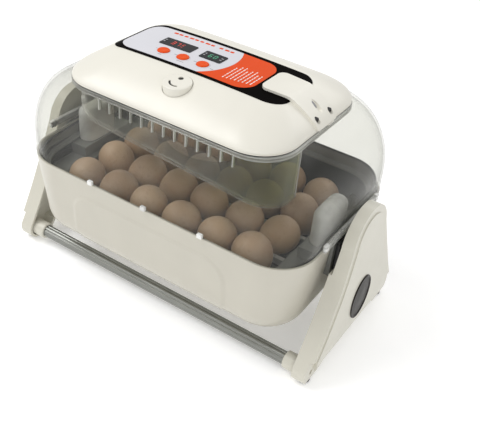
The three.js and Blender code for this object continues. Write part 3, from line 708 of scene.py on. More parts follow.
def build_foot(side, end):
    node = f"foot_{side}_{end}"
    low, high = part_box(node)
    x, y = middle_of(node)[:2]
    radius = (high.x - low.x) / 2
    profile = [(radius - 0.8 * MM, 0), (radius - 0.2 * MM, 0.25 * MM), (radius, 0.6 * MM), (radius, high.z)]
    foot_pad_and_groove_shade = lathe(f"rubber_pad_{side}_{end}", profile, (x, y, 0), (0, 0, 1))
    finish(foot_pad_and_groove_shade, "stand", RUBBER, [node], angle=50)


def build_rods():
    for side, sign in (("front", -1), ("rear", 1)):
        build_rod(side, sign * ROD_Y)
        for end in ("right", "left"):
            build_collar(side, end, sign * ROD_Y)
            build_foot(side, end)


# ---------------------------------------------------------------- tub, liner, tray and eggs
def rim_ring(inset, z, side_points=(1, 1)):
    """The outline of the tub's rim at a height, moved inwards by inset."""
    return ring(TUB_HIGH.x - inset, TUB_HIGH.y - inset, TUB_CORNER - inset, z, (0, 0), side_points)


def tub_ring(z, inset, side_points=(1, 1)):
    """The tub's section at a height, moved inwards by inset."""
    wall_z = TUB_LOW.z + TUB_FLOOR_RADIUS
    if z >= wall_z:
        drop = (TUB_HIGH.z - z) / (TUB_HIGH.z - wall_z)
        pull_x = inset + TUB_DRAFT_X * drop
        pull_y = inset + TUB_DRAFT_Y * drop
        pull = inset
    else:
        radius = TUB_FLOOR_RADIUS - inset
        depth = min(1, (wall_z - z) / radius)
        pull = TUB_FLOOR_RADIUS - radius * math.sqrt(max(0, 1 - depth * depth))
        pull_x = TUB_DRAFT_X + pull
        pull_y = TUB_DRAFT_Y + pull
    return ring(TUB_HIGH.x - pull_x, TUB_HIGH.y - pull_y, TUB_CORNER - pull, z, (0, 0), side_points)


def smooth_step(value):
    value = min(1, max(0, value))
    return value * value * (3 - 2 * value)


def panel_rise(x, z):
    """How far the tub's raised front and back panels stand out, from 0 to 1."""
    half_x, low_z, high_z, corner = 103 * MM, 40 * MM, 122 * MM, 28 * MM
    middle_z = (low_z + high_z) / 2
    out_x = abs(x) - (half_x - corner)
    out_z = abs(z - middle_z) - ((high_z - low_z) / 2 - corner)
    outside = math.hypot(max(out_x, 0), max(out_z, 0)) + min(max(out_x, out_z), 0) - corner
    return smooth_step(-outside / (2.0 * MM))


def build_tub():
    wall_z = TUB_LOW.z + TUB_FLOOR_RADIUS
    curve = [wall_z - TUB_FLOOR_RADIUS * cosine for sine, cosine in quarter_turn(14)]
    straight = [wall_z + (TUB_HIGH.z - wall_z) * i / 40 for i in range(1, 40)]
    rings = []
    for z in curve + straight:
        points = tub_ring(z, 0, (110, 30))
        for point in points:
            if abs(point.y) > 60 * MM:
                point.y += math.copysign(1.2 * MM * panel_rise(point.x, z), point.y)
        rings.append(points)
    rim = [(TUB_HIGH.z - 0.9 * MM, 0), (TUB_HIGH.z - 0.25 * MM, 0.3 * MM), (TUB_HIGH.z, 1.1 * MM),
           (TUB_HIGH.z - 0.1 * MM, 2.3 * MM), (TUB_HIGH.z - 0.8 * MM, TUB_WALL)]
    rings += [tub_ring(z, inset, (110, 30)) for z, inset in rim]
    inner = [TUB_HIGH.z - 20 * MM, wall_z]
    inner += [wall_z - (TUB_FLOOR_RADIUS - TUB_WALL) * sine for sine, cosine in quarter_turn(8)[1:]]
    rings += [tub_ring(z, TUB_WALL, (110, 30)) for z in inner]
    obj = loft("tub_shell", rings)
    finish(obj, "incubator", TUB_CREAM, ["tub"], angle=50)


def lip_height(y):
    """The liner's lip rises from the front to the back."""
    share = (y + TUB_HIGH.y) / (2 * TUB_HIGH.y)
    return LINER_FRONT_Z + (LINER_REAR_Z - LINER_FRONT_Z) * share


def lip_ring(inset, down):
    points = rim_ring(inset, 0, LINER_SIDE_POINTS)
    for point in points:
        point.z = lip_height(point.y) - down
    return points


def build_liner():
    """A dark inner tray whose lip rises to the rear, and the ledge round its inside."""
    outside = 3.5 * MM
    inside = 5.4 * MM
    lip = 5.6 * MM
    inner_lip = lip + 2.1 * MM
    floor_z = TUB_LOW.z + 6 * MM
    levels = [floor_z, 55 * MM, 62 * MM, 72 * MM, 100 * MM, 130 * MM, 136 * MM]
    rings = [tub_ring(z, outside, LINER_SIDE_POINTS) for z in levels]
    rings.append(rim_ring(lip, 138 * MM, LINER_SIDE_POINTS))
    rings += [lip_ring(lip, 1.2 * MM), lip_ring(lip + 0.3 * MM, 0.4 * MM), lip_ring(lip + 1 * MM, 0)]
    rings += [lip_ring(lip + 1.8 * MM, 0.4 * MM), lip_ring(inner_lip, 1.4 * MM)]
    rings.append(rim_ring(inner_lip, 134 * MM, LINER_SIDE_POINTS))
    rings += [tub_ring(z, inside + 2 * MM, LINER_SIDE_POINTS) for z in (130 * MM, 100 * MM, 72 * MM)]
    rings += [tub_ring(z, inside, LINER_SIDE_POINTS) for z in (62 * MM, 55 * MM, floor_z + 2 * MM)]
    finish(loft("liner_tray", rings), "incubator", LINER_GREY, ["liner"])
    inner = inner_lip + 0.1 * MM
    section = [(0, 2), (0.4, 1.6), (0.5, 13), (2.5, 13.8), (6.5, 14.2), (7, 14.8), (6.8, 16.2), (0, 16.2)]
    rings = [lip_ring(inner + pull * MM, down * MM) for pull, down in section]
    finish(loft("liner_ledge", rings, looped=True), "incubator", RIM_GREY)


def rounded_bar(name, low, high, rounding):
    obj = box(name, low, high)
    bevel(obj, rounding)
    bake_modifiers(obj)
    return obj


def build_tray():
    """Slats along X on cross ribs, with low cups' edges between the eggs of a row."""
    top = BED_HIGH.z
    bars = []
    pitch = EGG_PITCH_Y / 3
    for slat in range(3 * EGG_ROWS):
        y = (slat - 1.5 * EGG_ROWS + 0.5) * pitch
        low = (BED_LOW.x, y - pitch / 2 + 2.7 * MM, top - 3 * MM)
        high = (BED_HIGH.x, y + pitch / 2 - 2.7 * MM, top)
        bars.append(rounded_bar("slat", low, high, 1 * MM))
    for i in range(7):
        x = BED_LOW.x + (BED_HIGH.x - BED_LOW.x) * i / 6
        x = min(max(x, BED_LOW.x + 3 * MM), BED_HIGH.x - 3 * MM)
        low = (x - 2.5 * MM, BED_LOW.y, top - 4.5 * MM)
        bars.append(rounded_bar("rib", low, (x + 2.5 * MM, BED_HIGH.y, top - 0.6 * MM), 0.8 * MM))
    for x in (-120 * MM, 0, 120 * MM):
        for y in (-60 * MM, 60 * MM):
            low = (x - 4 * MM, y - 4 * MM, BED_LOW.z)
            bars.append(rounded_bar("leg", low, (x + 4 * MM, y + 4 * MM, top - 3 * MM), 1 * MM))
    obj = merge("egg_tray", bars)
    finish(obj, "incubator", TRAY_GREY, ["egg_bed"])


def build_dividers():
    """Clear rails between the rows: an upright web with a rolled top edge and small fins."""
    web = 0.8 * MM
    roll = 2.6 * MM
    fins = 19
    for number in range(1, 4):
        node = f"row_divider_{number}"
        low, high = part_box(node)
        y = middle_of(node)[1]
        half = [(web, low.z), (web, high.z - 2.4 * MM), (roll, high.z - 1.4 * MM), (roll, high.z)]
        rear = [(y + out, z) for out, z in half]
        front = [(y - out, z) for out, z in reversed(half)]
        parts = [prism("rail", front[-1:] + rear + front[:-1], low.x, high.x, "X")]
        for i in range(fins):
            x = low.x + (high.x - low.x) * (i + 0.5) / fins
            end = (x + 0.5 * MM, y + 2 * MM, high.z - 2 * MM)
            parts.append(box("fin", (x - 0.5 * MM, y - 2 * MM, low.z), end))
        obj = merge(f"clear_rail_{number}", parts)
        finish(obj, "incubator", DIVIDER_CLEAR, [node], rounding=0.3 * MM, segments=2)


def end_section(z, inset, cut_x, max_y=None):
    """The part of the tub's section beyond cut_x, as a ring."""
    points = tub_ring(z, inset)
    for point in points:
        point.x = max(point.x, cut_x)
        if max_y is not None:
            point.y = max(-max_y, min(max_y, point.y))
    return points


def build_end_inserts():
    """Grey mouldings at the ends: a low shelf in each corner and a raised middle step."""
    shelf_z = 112 * MM
    inset = 9 * MM
    half_step = 42 * MM
    for side in ("right", "left"):
        low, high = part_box(f"end_insert_{side}")
        cut_x = min(abs(low.x), abs(high.x))
        step_x = cut_x + 8 * MM
        shelf = loft("shelf", [
            end_section(low.z, inset, cut_x),
            end_section(shelf_z - 1.2 * MM, inset, cut_x),
            end_section(shelf_z - 0.3 * MM, inset + 0.3 * MM, cut_x + 0.3 * MM),
            end_section(shelf_z, inset + 1.2 * MM, cut_x + 1.2 * MM),
        ])
        step = loft("step", [
            end_section(shelf_z - 4 * MM, inset, step_x, half_step),
            end_section(high.z - 2 * MM, inset, step_x, half_step),
            end_section(high.z - 0.5 * MM, inset + 0.5 * MM, step_x + 0.5 * MM, half_step - 0.5 * MM),
            end_section(high.z, inset + 2 * MM, step_x + 2 * MM, half_step - 2 * MM),
        ])
        obj = on_side(merge("end_tray", [shelf, step]), side, f"end_tray_{side}")
        finish(obj, "incubator", INSERT_GREY, [f"end_insert_{side}"])


def build_humps():
    """Rounded translucent covers over the pivots."""
    round_top = 9 * MM
    for side in ("right", "left"):
        node = f"end_hump_{side}"
        low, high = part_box(node)
        half_x, half_y = (high.x - low.x) / 2, (high.y - low.y) / 2
        levels = [(low.z, 0), (high.z - round_top, 0)]
        levels += [
            (high.z - round_top * (1 - sine), round_top * (1 - cosine) * 0.95)
            for sine, cosine in quarter_turn(8)[1:]
        ]
        corner = min(half_x, half_y) * 0.95
        rings = [
            ring(half_x - pull, half_y - pull, max(corner - pull, 0.3 * MM), z, middle_of(node))
            for z, pull in levels
        ]
        finish(loft(f"pivot_cover_{side}", rings), "incubator", HUMP_GREY, [node], angle=50)


def egg(name, centre, lean, heading, size):
    """One egg: blunt end up, leaning by lean towards heading."""
    profile = []
    for i in range(1, 24):
        angle = math.pi * i / 24
        along = -math.cos(angle) * EGG_LENGTH / 2 * size
        radius = math.sin(angle) * EGG_WIDTH / 2 * size * (1 - 0.09 * math.cos(angle))
        profile.append((radius, along))
    tip = [(0.4 * MM, -EGG_LENGTH / 2 * size)]
    crown = [(0.4 * MM, EGG_LENGTH / 2 * size)]
    axis = (math.sin(lean) * math.cos(heading), math.sin(lean) * math.sin(heading), math.cos(lean))
    obj = lathe(name, tip + profile + crown, centre, axis, 40)
    obj.data.shade_smooth()
    return obj


def build_eggs():
    source = random.Random(24)
    for row in range(EGG_ROWS):
        y = (row - (EGG_ROWS - 1) / 2) * EGG_PITCH_Y - 2.5 * MM
        shift = -2.5 * MM if row == 0 else 1.5 * MM
        for column in range(EGGS_IN_ROW):
            x = (column - (EGGS_IN_ROW - 1) / 2) * EGG_PITCH_X + shift
            lean = math.radians(source.uniform(25, 50))
            heading = source.uniform(0, 2 * math.pi)
            size = source.uniform(0.965, 1.0)
            half_height = math.hypot(EGG_LENGTH / 2 * math.cos(lean), EGG_WIDTH / 2 * math.sin(lean))
            centre = (x, y, BED_HIGH.z - EGG_SINK + half_height * size)
            obj = egg(f"hen_egg_{row * EGGS_IN_ROW + column + 1:02d}", centre, lean, heading, size)
            settle(obj, "incubator", EGGSHELL)


# ---------------------------------------------------------------- clear cover
def dome_ring(sine, cosine, inset):
    half_x = DOME_TOP_HALF[0] + (TUB_HIGH.x - DOME_TOP_HALF[0]) * cosine - inset
    half_y = DOME_TOP_HALF[1] + (TUB_HIGH.y - DOME_TOP_HALF[1]) * cosine - inset
    corner = DOME_TOP_CORNER + (TUB_CORNER - DOME_TOP_CORNER) * cosine - inset
    z = DOME_SHOULDER_Z + (DOME_HIGH.z - DOME_SHOULDER_Z - inset) * sine
    return ring(half_x, half_y, corner, z)


def open_ring(grow, z):
    half_x, half_y = DOME_OPEN_HALF
    return ring(half_x + grow, half_y + grow, DOME_TOP_CORNER - 5 * MM + grow, z)


def build_dome():
    """A clear shell with a rolled foot, an opening with two beads, and small tabs."""
    foot = DOME_LOW.z
    top = DOME_HIGH.z
    foot_outside = ((0.3, 0), (0, 0.4), (0, 4), (0.7, 4.8))
    rings = [rim_ring(inset * MM, foot + rise * MM) for inset, rise in foot_outside]
    rings += [dome_ring(sine, cosine, 0.7 * MM * cosine) for sine, cosine in quarter_turn(20)]
    opening = ((0.3, 0), (0, 0.5), (0, 2), (0.4, 2.5))
    rings += [open_ring(grow * MM, top - down * MM) for grow, down in opening]
    rings += [dome_ring(sine, cosine, DOME_WALL) for sine, cosine in reversed(quarter_turn(20))]
    foot_inside = ((3, 5), (4, 4), (4, 0))
    rings += [rim_ring(inset * MM, foot + rise * MM) for inset, rise in foot_inside]
    shell = loft("cover_shell", rings, looped=True)
    sections = (
        ((3.5, 0.2), (5.4, 0.4), (6.1, 1.2), (5.4, 2), (3.5, 2.2)),
        ((3.0, 3.8), (5.4, 4), (6.0, 4.7), (5.4, 5.4), (3.0, 5.6)),
    )
    beads = [
        loft("bead", [open_ring(grow * MM, top - down * MM) for grow, down in section], looped=True)
        for section in sections
    ]
    tabs = []
    for x in (-72 * MM, 0, 72 * MM):
        for sign in (-1, 1):
            edge = sign * TUB_HIGH.y
            low_y, high_y = sorted((edge - sign * 1.5 * MM, edge + sign * 2.5 * MM))
            low = (x - 3 * MM, low_y, foot)
            high = (x + 3 * MM, high_y, foot + 5 * MM)
            tabs.append(rounded_bar("tab", low, high, 0.6 * MM))
    finish(shell, "cover", DOME_CLEAR, ["dome"])
    finish(merge("cover_beads", beads), "cover", BEAD_CLEAR)
    finish(merge("cover_tabs", tabs), "cover", TAB_CLEAR)


def build_clips():
    """Clear end clips: a bar with a thumb notch, ribs and two hooked ends."""
    ribs = 9
    notch = 16 * MM
    for side in ("right", "left"):
        low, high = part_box(f"end_clip_{side}")
        near = min(abs(low.x), abs(high.x))
        far = max(abs(low.x), abs(high.x))

        def bar(y, z, rounding, short=0.0):
            return rounded_bar("bar", (near, y[0], z[0]), (far - short, y[1], z[1]), rounding * MM)

        whole_y = (low.y, high.y)
        whole_z = (low.z, high.z)
        parts = [bar(whole_y, (low.z + 1 * MM, high.z - 1 * MM), 1.2, 1.5 * MM)]
        for z in (low.z + 2.2 * MM, high.z - 2.2 * MM):
            parts.append(bar(whole_y, (z - 1.6 * MM, z + 1.6 * MM), 1.2))
        for i in range(ribs):
            y = low.y + (high.y - low.y) * (i + 0.5) / ribs
            if abs(y) > notch:
                parts.append(bar((y - 1.2 * MM, y + 1.2 * MM), whole_z, 0.8))
        hooks = []
        for y in (low.y + 4 * MM, high.y - 4 * MM):
            tooth = (-9, -5) if y > 0 else (5, 9)
            hooks.append(bar((y - 4 * MM, y + 4 * MM), whole_z, 1.8))
            tooth_y = [y + offset * MM for offset in tooth]
            hooks.append(bar(tooth_y, (low.z + 1 * MM, high.z - 3 * MM), 1, 1 * MM))
        clip = on_side(merge("clip", parts), side, f"clear_clip_{side}")
        finish(clip, "cover", CLIP_CLEAR, [f"end_clip_{side}"])
        ends = on_side(merge("hooks", hooks), side, f"clip_hooks_{side}")
        finish(ends, "cover", TAB_CLEAR)


# ---------------------------------------------------------------- control unit
def unit_ring(sine, cosine, offset):
    out = cosine ** CROWN_BULGE
    half_x = CROWN_HALF[0] + (UNIT_HIGH.x - CROWN_HALF[0]) * out + offset
    half_y = CROWN_HALF[1] + (UNIT_HIGH.y - CROWN_HALF[1]) * out + offset
    corner = CROWN_CORNER + (UNIT_CORNER - CROWN_CORNER) * out + offset
    z = UNIT_LIP_Z + (UNIT_HIGH.z - UNIT_LIP_Z + offset) * sine ** CROWN_BULGE
    return ring(half_x, half_y, corner, z, (0, 0), UNIT_SIDE_POINTS)


def unit_base_ring(offset, z):
    half_x, half_y, corner = (size + offset for size in (UNIT_HIGH.x, UNIT_HIGH.y, UNIT_CORNER))
    return ring(half_x, half_y, corner, z, (0, 0), UNIT_SIDE_POINTS)


def crown_rings(offset):
    """Inner rings that carry the slightly domed top inwards."""
    half_x, half_y, corner = (size + offset for size in (*CROWN_HALF, CROWN_CORNER))
    return [
        ring(
            half_x * share + 1 * MM, half_y * share + 1 * MM, corner * share + 1 * MM,
            UNIT_HIGH.z + offset, (0, 0), UNIT_SIDE_POINTS,
        )
        for share in (0.8, 0.6, 0.4, 0.2)
    ]


def crown_drop(x):
    """How far the unit's top falls off towards its ends."""
    return CROWN_DROP * (x / (100 * MM)) ** 2


def crown_z(x, rise):
    """The height of the unit's top, or of a layer that lies on it."""
    return UNIT_HIGH.z + rise - crown_drop(x)


def sag(obj):
    """Lets the unit's top fall off towards its ends."""
    for vertex in obj.data.vertices:
        height = smooth_step((vertex.co.z - UNIT_LIP_Z) / (UNIT_HIGH.z - UNIT_LIP_Z))
        vertex.co.z -= crown_drop(vertex.co.x) * height
    obj.data.update()


def unit_body(name, offset):
    """A solid in the unit's outer shape, moved outwards by offset."""
    rings = [unit_base_ring(offset, UNIT_LOW.z)]
    rings += [unit_ring(sine, cosine, offset) for sine, cosine in quarter_turn(16)]
    rings += crown_rings(offset)
    return loft(name, rings)


def rect_outline(min_x, max_x, min_y, max_y, corner):
    half_x = (max_x - min_x) / 2
    half_y = (max_y - min_y) / 2
    middle = ((max_x + min_x) / 2, (max_y + min_y) / 2)
    return [(p.x, p.y) for p in ring(half_x, half_y, corner, 0, middle)]


def cut_button_holes(obj):
    """Cuts the holes that the button caps move in."""
    for number in (1, 2, 3):
        low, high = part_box(f"button_{number}")
        x, y = middle_of(f"button_{number}")[:2]
        radius = (high.x - low.x) / 2 + BUTTON_GAP
        hole = [(radius, low.z - 2 * MM), (radius, high.z + 5 * MM)]
        carve(obj, lathe("hole", hole, (x, y, 0), (0, 0, 1), 56))


def printed(name, outline, rise, material, replaces=(), holes=False):
    """A thin printed or moulded layer that follows the unit's top."""
    obj = prism(name, outline, UNIT_HIGH.z - 9 * MM, UNIT_HIGH.z + 6 * MM)
    carve(obj, unit_body("skin", rise), "INTERSECT")
    if holes:
        cut_button_holes(obj)
    sag(obj)
    finish(obj, "control_unit", material, replaces, angle=30)


KNOB_LOW, KNOB_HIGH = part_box("vent_knob")
KNOB_JOINT = next(j for j in frame["joints"] if j["name"] == "vent_knob_turn")
KNOB_CENTRE = Vector(KNOB_JOINT["pos_m"])
KNOB_AXIS = Vector(KNOB_JOINT["axis"])
KNOB_RADIUS = (KNOB_HIGH.x - KNOB_LOW.x) / 2


def build_housing():
    """The cream shell with its rolled lower edge, and the gasket under it."""
    section = ((2.4, 0), (0.5, 0), (0.2, 0.4), (0.3, 1.0), (2.4, 1.0))
    rings = [unit_base_ring(-inset * MM, UNIT_LOW.z + rise * MM) for inset, rise in section]
    finish(loft("unit_gasket", rings, looped=True), "control_unit", FRAME_DARK)
    edge = ((UNIT_WALL / MM, 1.1), (0.5, 1.1), (0, 1.3), (0, 1.9), (0.4, 2.1), (0.4, 2.4), (0, 2.8))
    rings = [unit_ring(sine, cosine, -UNIT_WALL) for sine, cosine in reversed(quarter_turn(10))]
    rings += [unit_base_ring(-inset * MM, UNIT_LOW.z + rise * MM) for inset, rise in edge]
    rings += [unit_ring(sine, cosine, 0) for sine, cosine in quarter_turn(28)]
    rings += crown_rings(0)
    obj = loft("unit_shell", rings)
    radius = KNOB_RADIUS + 0.5 * MM
    carve(obj, lathe("well", [(radius, -9 * MM), (radius, 40 * MM)], KNOB_CENTRE, KNOB_AXIS, 64))
    cut_button_holes(obj)
    sag(obj)
    finish(obj, "control_unit", CREAM, ["unit_housing"], angle=32)


def build_label():
    """A black surround, an orange area, and a light grey field that ends in a round edge."""
    low_y = LABEL_MIDDLE_Y - LABEL_HALF_Y
    high_y = LABEL_MIDDLE_Y + LABEL_HALF_Y
    surround = rect_outline(LABEL_MIN_X, LABEL_MAX_X, low_y, high_y, LABEL_CORNER)
    printed("label_surround", surround, SURROUND_RISE, LABEL_BLACK, replaces=["label_panel"], holes=True)
    field_low_y = low_y + 4.6 * MM
    field_high_y = high_y - 5.8 * MM
    field = rect_outline(LABEL_MIN_X + 7.5 * MM, 63 * MM, field_low_y, field_high_y, 18 * MM)
    printed("label_orange_area", field, ORANGE_RISE, LABEL_ORANGE, holes=True)
    centre = (-34 * MM, 8 * MM)
    radius = 55.5 * MM
    low_angle = math.asin((field_low_y - centre[1]) / radius)
    high_angle = math.asin((field_high_y - centre[1]) / radius)
    edge = arc(centre, radius, low_angle, high_angle, 40)
    inside = (-60 * MM, 1 * MM)
    grey = [point for point in field if point[0] < centre[0]]
    grey.sort(key=lambda point: math.atan2(point[1] - inside[1], point[0] - inside[0]) % (2 * math.pi))
    printed("label_grey_field", edge + grey, GREY_RISE, LABEL_GREY, holes=True)


def segment_digit(x, y, height, lit):
    """Seven-segment strokes for one digit, as (low x, low y, high x, high y)."""
    width = height * 0.52
    stroke = height * 0.13
    bars = {
        "a": (0, height - stroke, width, height), "d": (0, 0, width, stroke),
        "g": (0, height / 2 - stroke / 2, width, height / 2 + stroke / 2),
        "f": (0, height / 2, stroke, height), "b": (width - stroke, height / 2, width, height),
        "e": (0, 0, stroke, height / 2), "c": (width - stroke, 0, width, height / 2),
    }
    gap = 0.12 * MM
    strokes = []
    for bar in lit:
        x0, y0, x1, y1 = bars[bar]
        strokes.append((x + x0 + gap, y + y0 + gap, x + x1 - gap, y + y1 - gap))
    return strokes


def print_marks(name, marks, material):
    """Thin bars from (low x, low y, high x, high y, base height, sink, rise) on the unit's top."""
    parts = [
        box("mark", (x0, y0, base_z - sink * MM), (x1, y1, base_z + rise * MM))
        for x0, y0, x1, y1, base_z, sink, rise in marks
    ]
    finish(merge(name, parts), "control_unit", material, angle=32)


SEGMENTS = {"3": "abcdg", "7": "abc", "5": "afgcd", "6": "afgcde", "0": "abcdef"}


def build_display(name, text, material):
    """A dark window with lit digits and small grey lamps at its ends."""
    node = f"{name}_display"
    low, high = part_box(node)
    outline = rect_outline(low.x, high.x, low.y, high.y, 1.6 * MM)
    printed(f"{name}_window", outline, WINDOW_RISE, WINDOW_BLACK, [node])
    x, y = middle_of(node)[:2]
    base_z = crown_z(x, WINDOW_RISE)
    height = 7.5 * MM
    pitch = 6.2 * MM
    start_x = low.x + (high.x - low.x) * 0.3
    base_y = y - height / 2
    strokes = []
    for i, digit in enumerate(text):
        for stroke in segment_digit(start_x + i * pitch, base_y, height, SEGMENTS[digit]):
            strokes.append((*stroke, base_z, 0.5, 0.12))
    print_marks(f"{name}_digits", strokes, material)
    lamps = []
    for i in range(2):
        y = base_y + (0.8 + 4.2 * i) * MM
        lamps.append((high.x - 4.6 * MM, y, high.x - 2 * MM, y + 1.6 * MM, base_z, 0.5, 0.1))
        lamps.append((low.x + 2 * MM, y, low.x + 4 * MM, y + 1.8 * MM, base_z, 0.5, 0.1))
    print_marks(f"{name}_lamps", lamps, PRINT_GREY)


def build_print():
    """Plain dashes and blocks that stand for print, with no lettering."""
    source = random.Random(7)
    white = []
    for line in range(8):
        x = (28 + 4.2 * line) * MM
        y = -26 * MM + 0.8 * MM * line
        end = (2 + 2 * (line % 3)) * MM
        while y < end:
            length = source.uniform(2, 5) * MM
            white.append((x, y, x + 1.1 * MM, y + length, crown_z(x, ORANGE_RISE), 0.4, 0.07))
            y += length + 1.1 * MM
    print_marks("label_white_dashes", white, PRINT_WHITE)
    grey = []
    dashes = ((-62, -17, 3), (-38, -17, 3), (-13.5, -17, 4), (-52, -27, 12), (-28, -27, 14), (9, -20, 4))
    for x, y, length in dashes:
        base_z = crown_z(x * MM, GREY_RISE)
        grey.append((x * MM, y * MM, (x + length) * MM, (y + 1) * MM, base_z, 0.4, 0.08))
    print_marks("label_grey_dashes", grey, PRINT_GREY)
    for block in range(11):
        start = (-72 + 7 * block + (4 if block > 7 else 0)) * MM
        width = (4.6 if block % 3 else 5.6) * MM
        stripe = rect_outline(start, start + width, 26.4 * MM, 29.6 * MM, 0.9 * MM)
        printed(f"label_orange_block_{block + 1}", stripe, BLOCK_RISE, LABEL_ORANGE)


def build_buttons():
    """Dished orange caps in grey bezels."""
    for number, body in enumerate(("left_button", "middle_button", "right_button"), 1):
        node = f"button_{number}"
        low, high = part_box(node)
        x, y = middle_of(node)[:2]
        radius = (high.x - low.x) / 2
        top = high.z - crown_drop(x)
        profile = [(radius, low.z), (radius, top - 1.4 * MM), (radius - 0.25 * MM, top - 0.7 * MM),
                   (radius - 0.9 * MM, top - 0.25 * MM), (radius - 2 * MM, top - 0.05 * MM),
                   (radius * 0.45, top - 0.1 * MM), (radius * 0.2, top - 0.25 * MM),
                   (0.3 * MM, top - 0.3 * MM)]
        cap = lathe(f"{body}_cap", profile, (x, y, 0), (0, 0, 1), 56)
        finish(cap, body, BUTTON_ORANGE, [node], angle=50)
        base_z = crown_z(x, 0)
        bezel = collar(
            f"{body}_bezel", radius + 0.15 * MM, radius + 1.2 * MM, base_z - 2 * MM, base_z + 1.15 * MM,
            (x, y, 0), (0, 0, 1), 0.5 * MM, 56,
        )
        finish(bezel, "control_unit", LABEL_GREY)


def knob_cutter(points, low, high):
    """A prism over an outline drawn on the knob's face."""
    turn = Vector((0, 0, 1)).rotation_difference(KNOB_AXIS).to_matrix()
    rings = [[KNOB_CENTRE + turn @ Vector((x, y, z)) for x, y in points] for z in (low, high)]
    return loft("cutter", rings)


def build_knob():
    """The vent knob: a cream disc with a curved slot and a round port in its face, over a black disc of
    painted shade that makes them read as holes into the dark inside.
    """
    top = 9.9 * MM
    radius = KNOB_RADIUS
    profile = [(6 * MM, -12.5 * MM), (6 * MM, -8.5 * MM), (radius, -8.5 * MM), (radius, top - 1.6 * MM),
               (radius - 0.4 * MM, top - 0.6 * MM), (radius - 1.4 * MM, top - 0.1 * MM),
               (radius - 2.4 * MM, top), (radius * 0.5, top), (0.4 * MM, top)]
    knob = lathe("vent_dial", profile, KNOB_CENTRE, KNOB_AXIS, 72)
    slot_radius = 8.5 * MM
    width = 1.1 * MM
    start, end = math.radians(196), math.radians(300)
    outer = arc((1 * MM, 0), slot_radius + width, start, end, 20)
    inner = arc((1 * MM, 0), slot_radius - width, end, start, 20)
    carve(knob, knob_cutter(outer + inner, top - 4 * MM, top + 2 * MM))
    port = arc((-0.5 * MM, 6.5 * MM), 2.9 * MM, 0, 2 * math.pi * 23 / 24, 23)
    carve(knob, knob_cutter(port, top - 6 * MM, top + 2 * MM))
    finish(knob, "vent_knob", CREAM, ["vent_knob"], rounding=0.25 * MM, segments=2)
    # Painted shade: a black disc just under the knob's face, seen through the slot and the port.
    disc = [(10.5 * MM, top - 2.2 * MM), (10.5 * MM, top - 1.2 * MM)]
    dark = lathe("vent_painted_shade", disc, KNOB_CENTRE, KNOB_AXIS, 48)
    finish(dark, "vent_knob", BLACK, rounding=0.1 * MM, segments=2)


def sloping_dish(name, profile, place, stretch):
    """A turned shape stretched along the hood and tipped to the slope of its end."""
    profile = [(radius * MM, along * MM) for radius, along in profile]
    obj = lathe(name, profile, (0, 0, 0), (0, 0, 1), 40)
    turn = Matrix.Rotation(HOOD_SLOPE, 4, "Y")
    obj.data.transform(Matrix.Translation(place) @ turn @ Matrix.Diagonal((*stretch, 1)))
    return obj


def build_hood():
    """The raised tongue over the connectors, with a finger groove whose bottom carries a grey patch of
    painted shade.
    """
    middle_y = middle_of("hood")[1]
    end_x = HOOD_HIGH.x + 4 * MM
    outline = []
    for x, y in rect_outline(HOOD_LOW.x, end_x, HOOD_LOW.y, HOOD_HIGH.y, 8 * MM):
        narrowing = 0.14 * smooth_step((x - 100 * MM) / (36 * MM))
        outline.append((x, middle_y + (y - middle_y) * (1 - narrowing)))
    obj = prism("hood_cover", outline, UNIT_LOW.z + 4 * MM, UNIT_HIGH.z + 8 * MM)
    carve(obj, unit_body("skin", 3 * MM), "INTERSECT")
    groove_y = middle_y + 1.5 * MM
    groove = ((0.5, -5), (4, -4), (5, 0), (4, 4), (0.5, 5))
    carve(obj, sloping_dish("groove", groove, (122.5 * MM, groove_y, 265 * MM), (1.9, 0.8, 1.1)))
    for node in ("air_nozzle", "power_socket"):
        y, z = middle_of(node)[1:]
        low_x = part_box(node)[0].x
        carve(obj, bar_along_x("mouth", PORT_RADIUS, low_x, HOOD_HIGH.x + 10 * MM, y, z, 40))
    sag(obj)
    finish(obj, "control_unit", CREAM, ["hood"], rounding=0.8 * MM)
    # Painted shade: a grey patch lying in the bottom of the finger groove.
    foot_pad_and_groove_shade = ((0.5, -1), (3.6, -0.8), (4.6, 0), (3.6, 0.8), (0.5, 1))
    obj = sloping_dish("hood_groove_painted_shade", foot_pad_and_groove_shade, (119.2 * MM, groove_y, 261.2 * MM), (1.5, 0.6, 0.6))
    sag(obj)
    finish(obj, "control_unit", PRINT_GREY, angle=60)


def build_connectors():
    """Dark sleeves in the hood's two mouths."""
    for node, name in (("air_nozzle", "air_port"), ("power_socket", "power_port")):
        low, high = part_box(node)
        y, z = middle_of(node)[1:]
        sleeve = collar(
            name, PORT_RADIUS * 0.55, PORT_RADIUS - 0.1 * MM, low.x, high.x - 5.5 * MM,
            (0, y, z), (1, 0, 0), 0.4 * MM, 40,
        )
        make_normals_consistent(sleeve)
        finish(sleeve, "control_unit", BLACK, [node])


def build_latch():
    low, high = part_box("unit_latch")
    obj = rounded_bar("snap_tab", low, high, 1 * MM)
    finish(obj, "control_unit", CREAM, ["unit_latch"])


def guide_ring(z, pull_x, pull_y, pull_corner, inset):
    """A level of the air guide, whose +X end drops straight while the rest tapers."""
    half_x = GUIDE_HIGH.x - pull_x - inset
    half_y = GUIDE_HIGH.y - pull_y - inset
    points = ring(half_x, half_y, GUIDE_CORNER - pull_corner - inset, z, (0, 0), (28, 12))
    for point in points:
        if point.x > 0:
            point.x *= (GUIDE_HIGH.x - inset) / half_x
        if z < GUIDE_SLOT_Z:
            point.z -= GUIDE_DROOP * point.x / GUIDE_HIGH.x
    return points


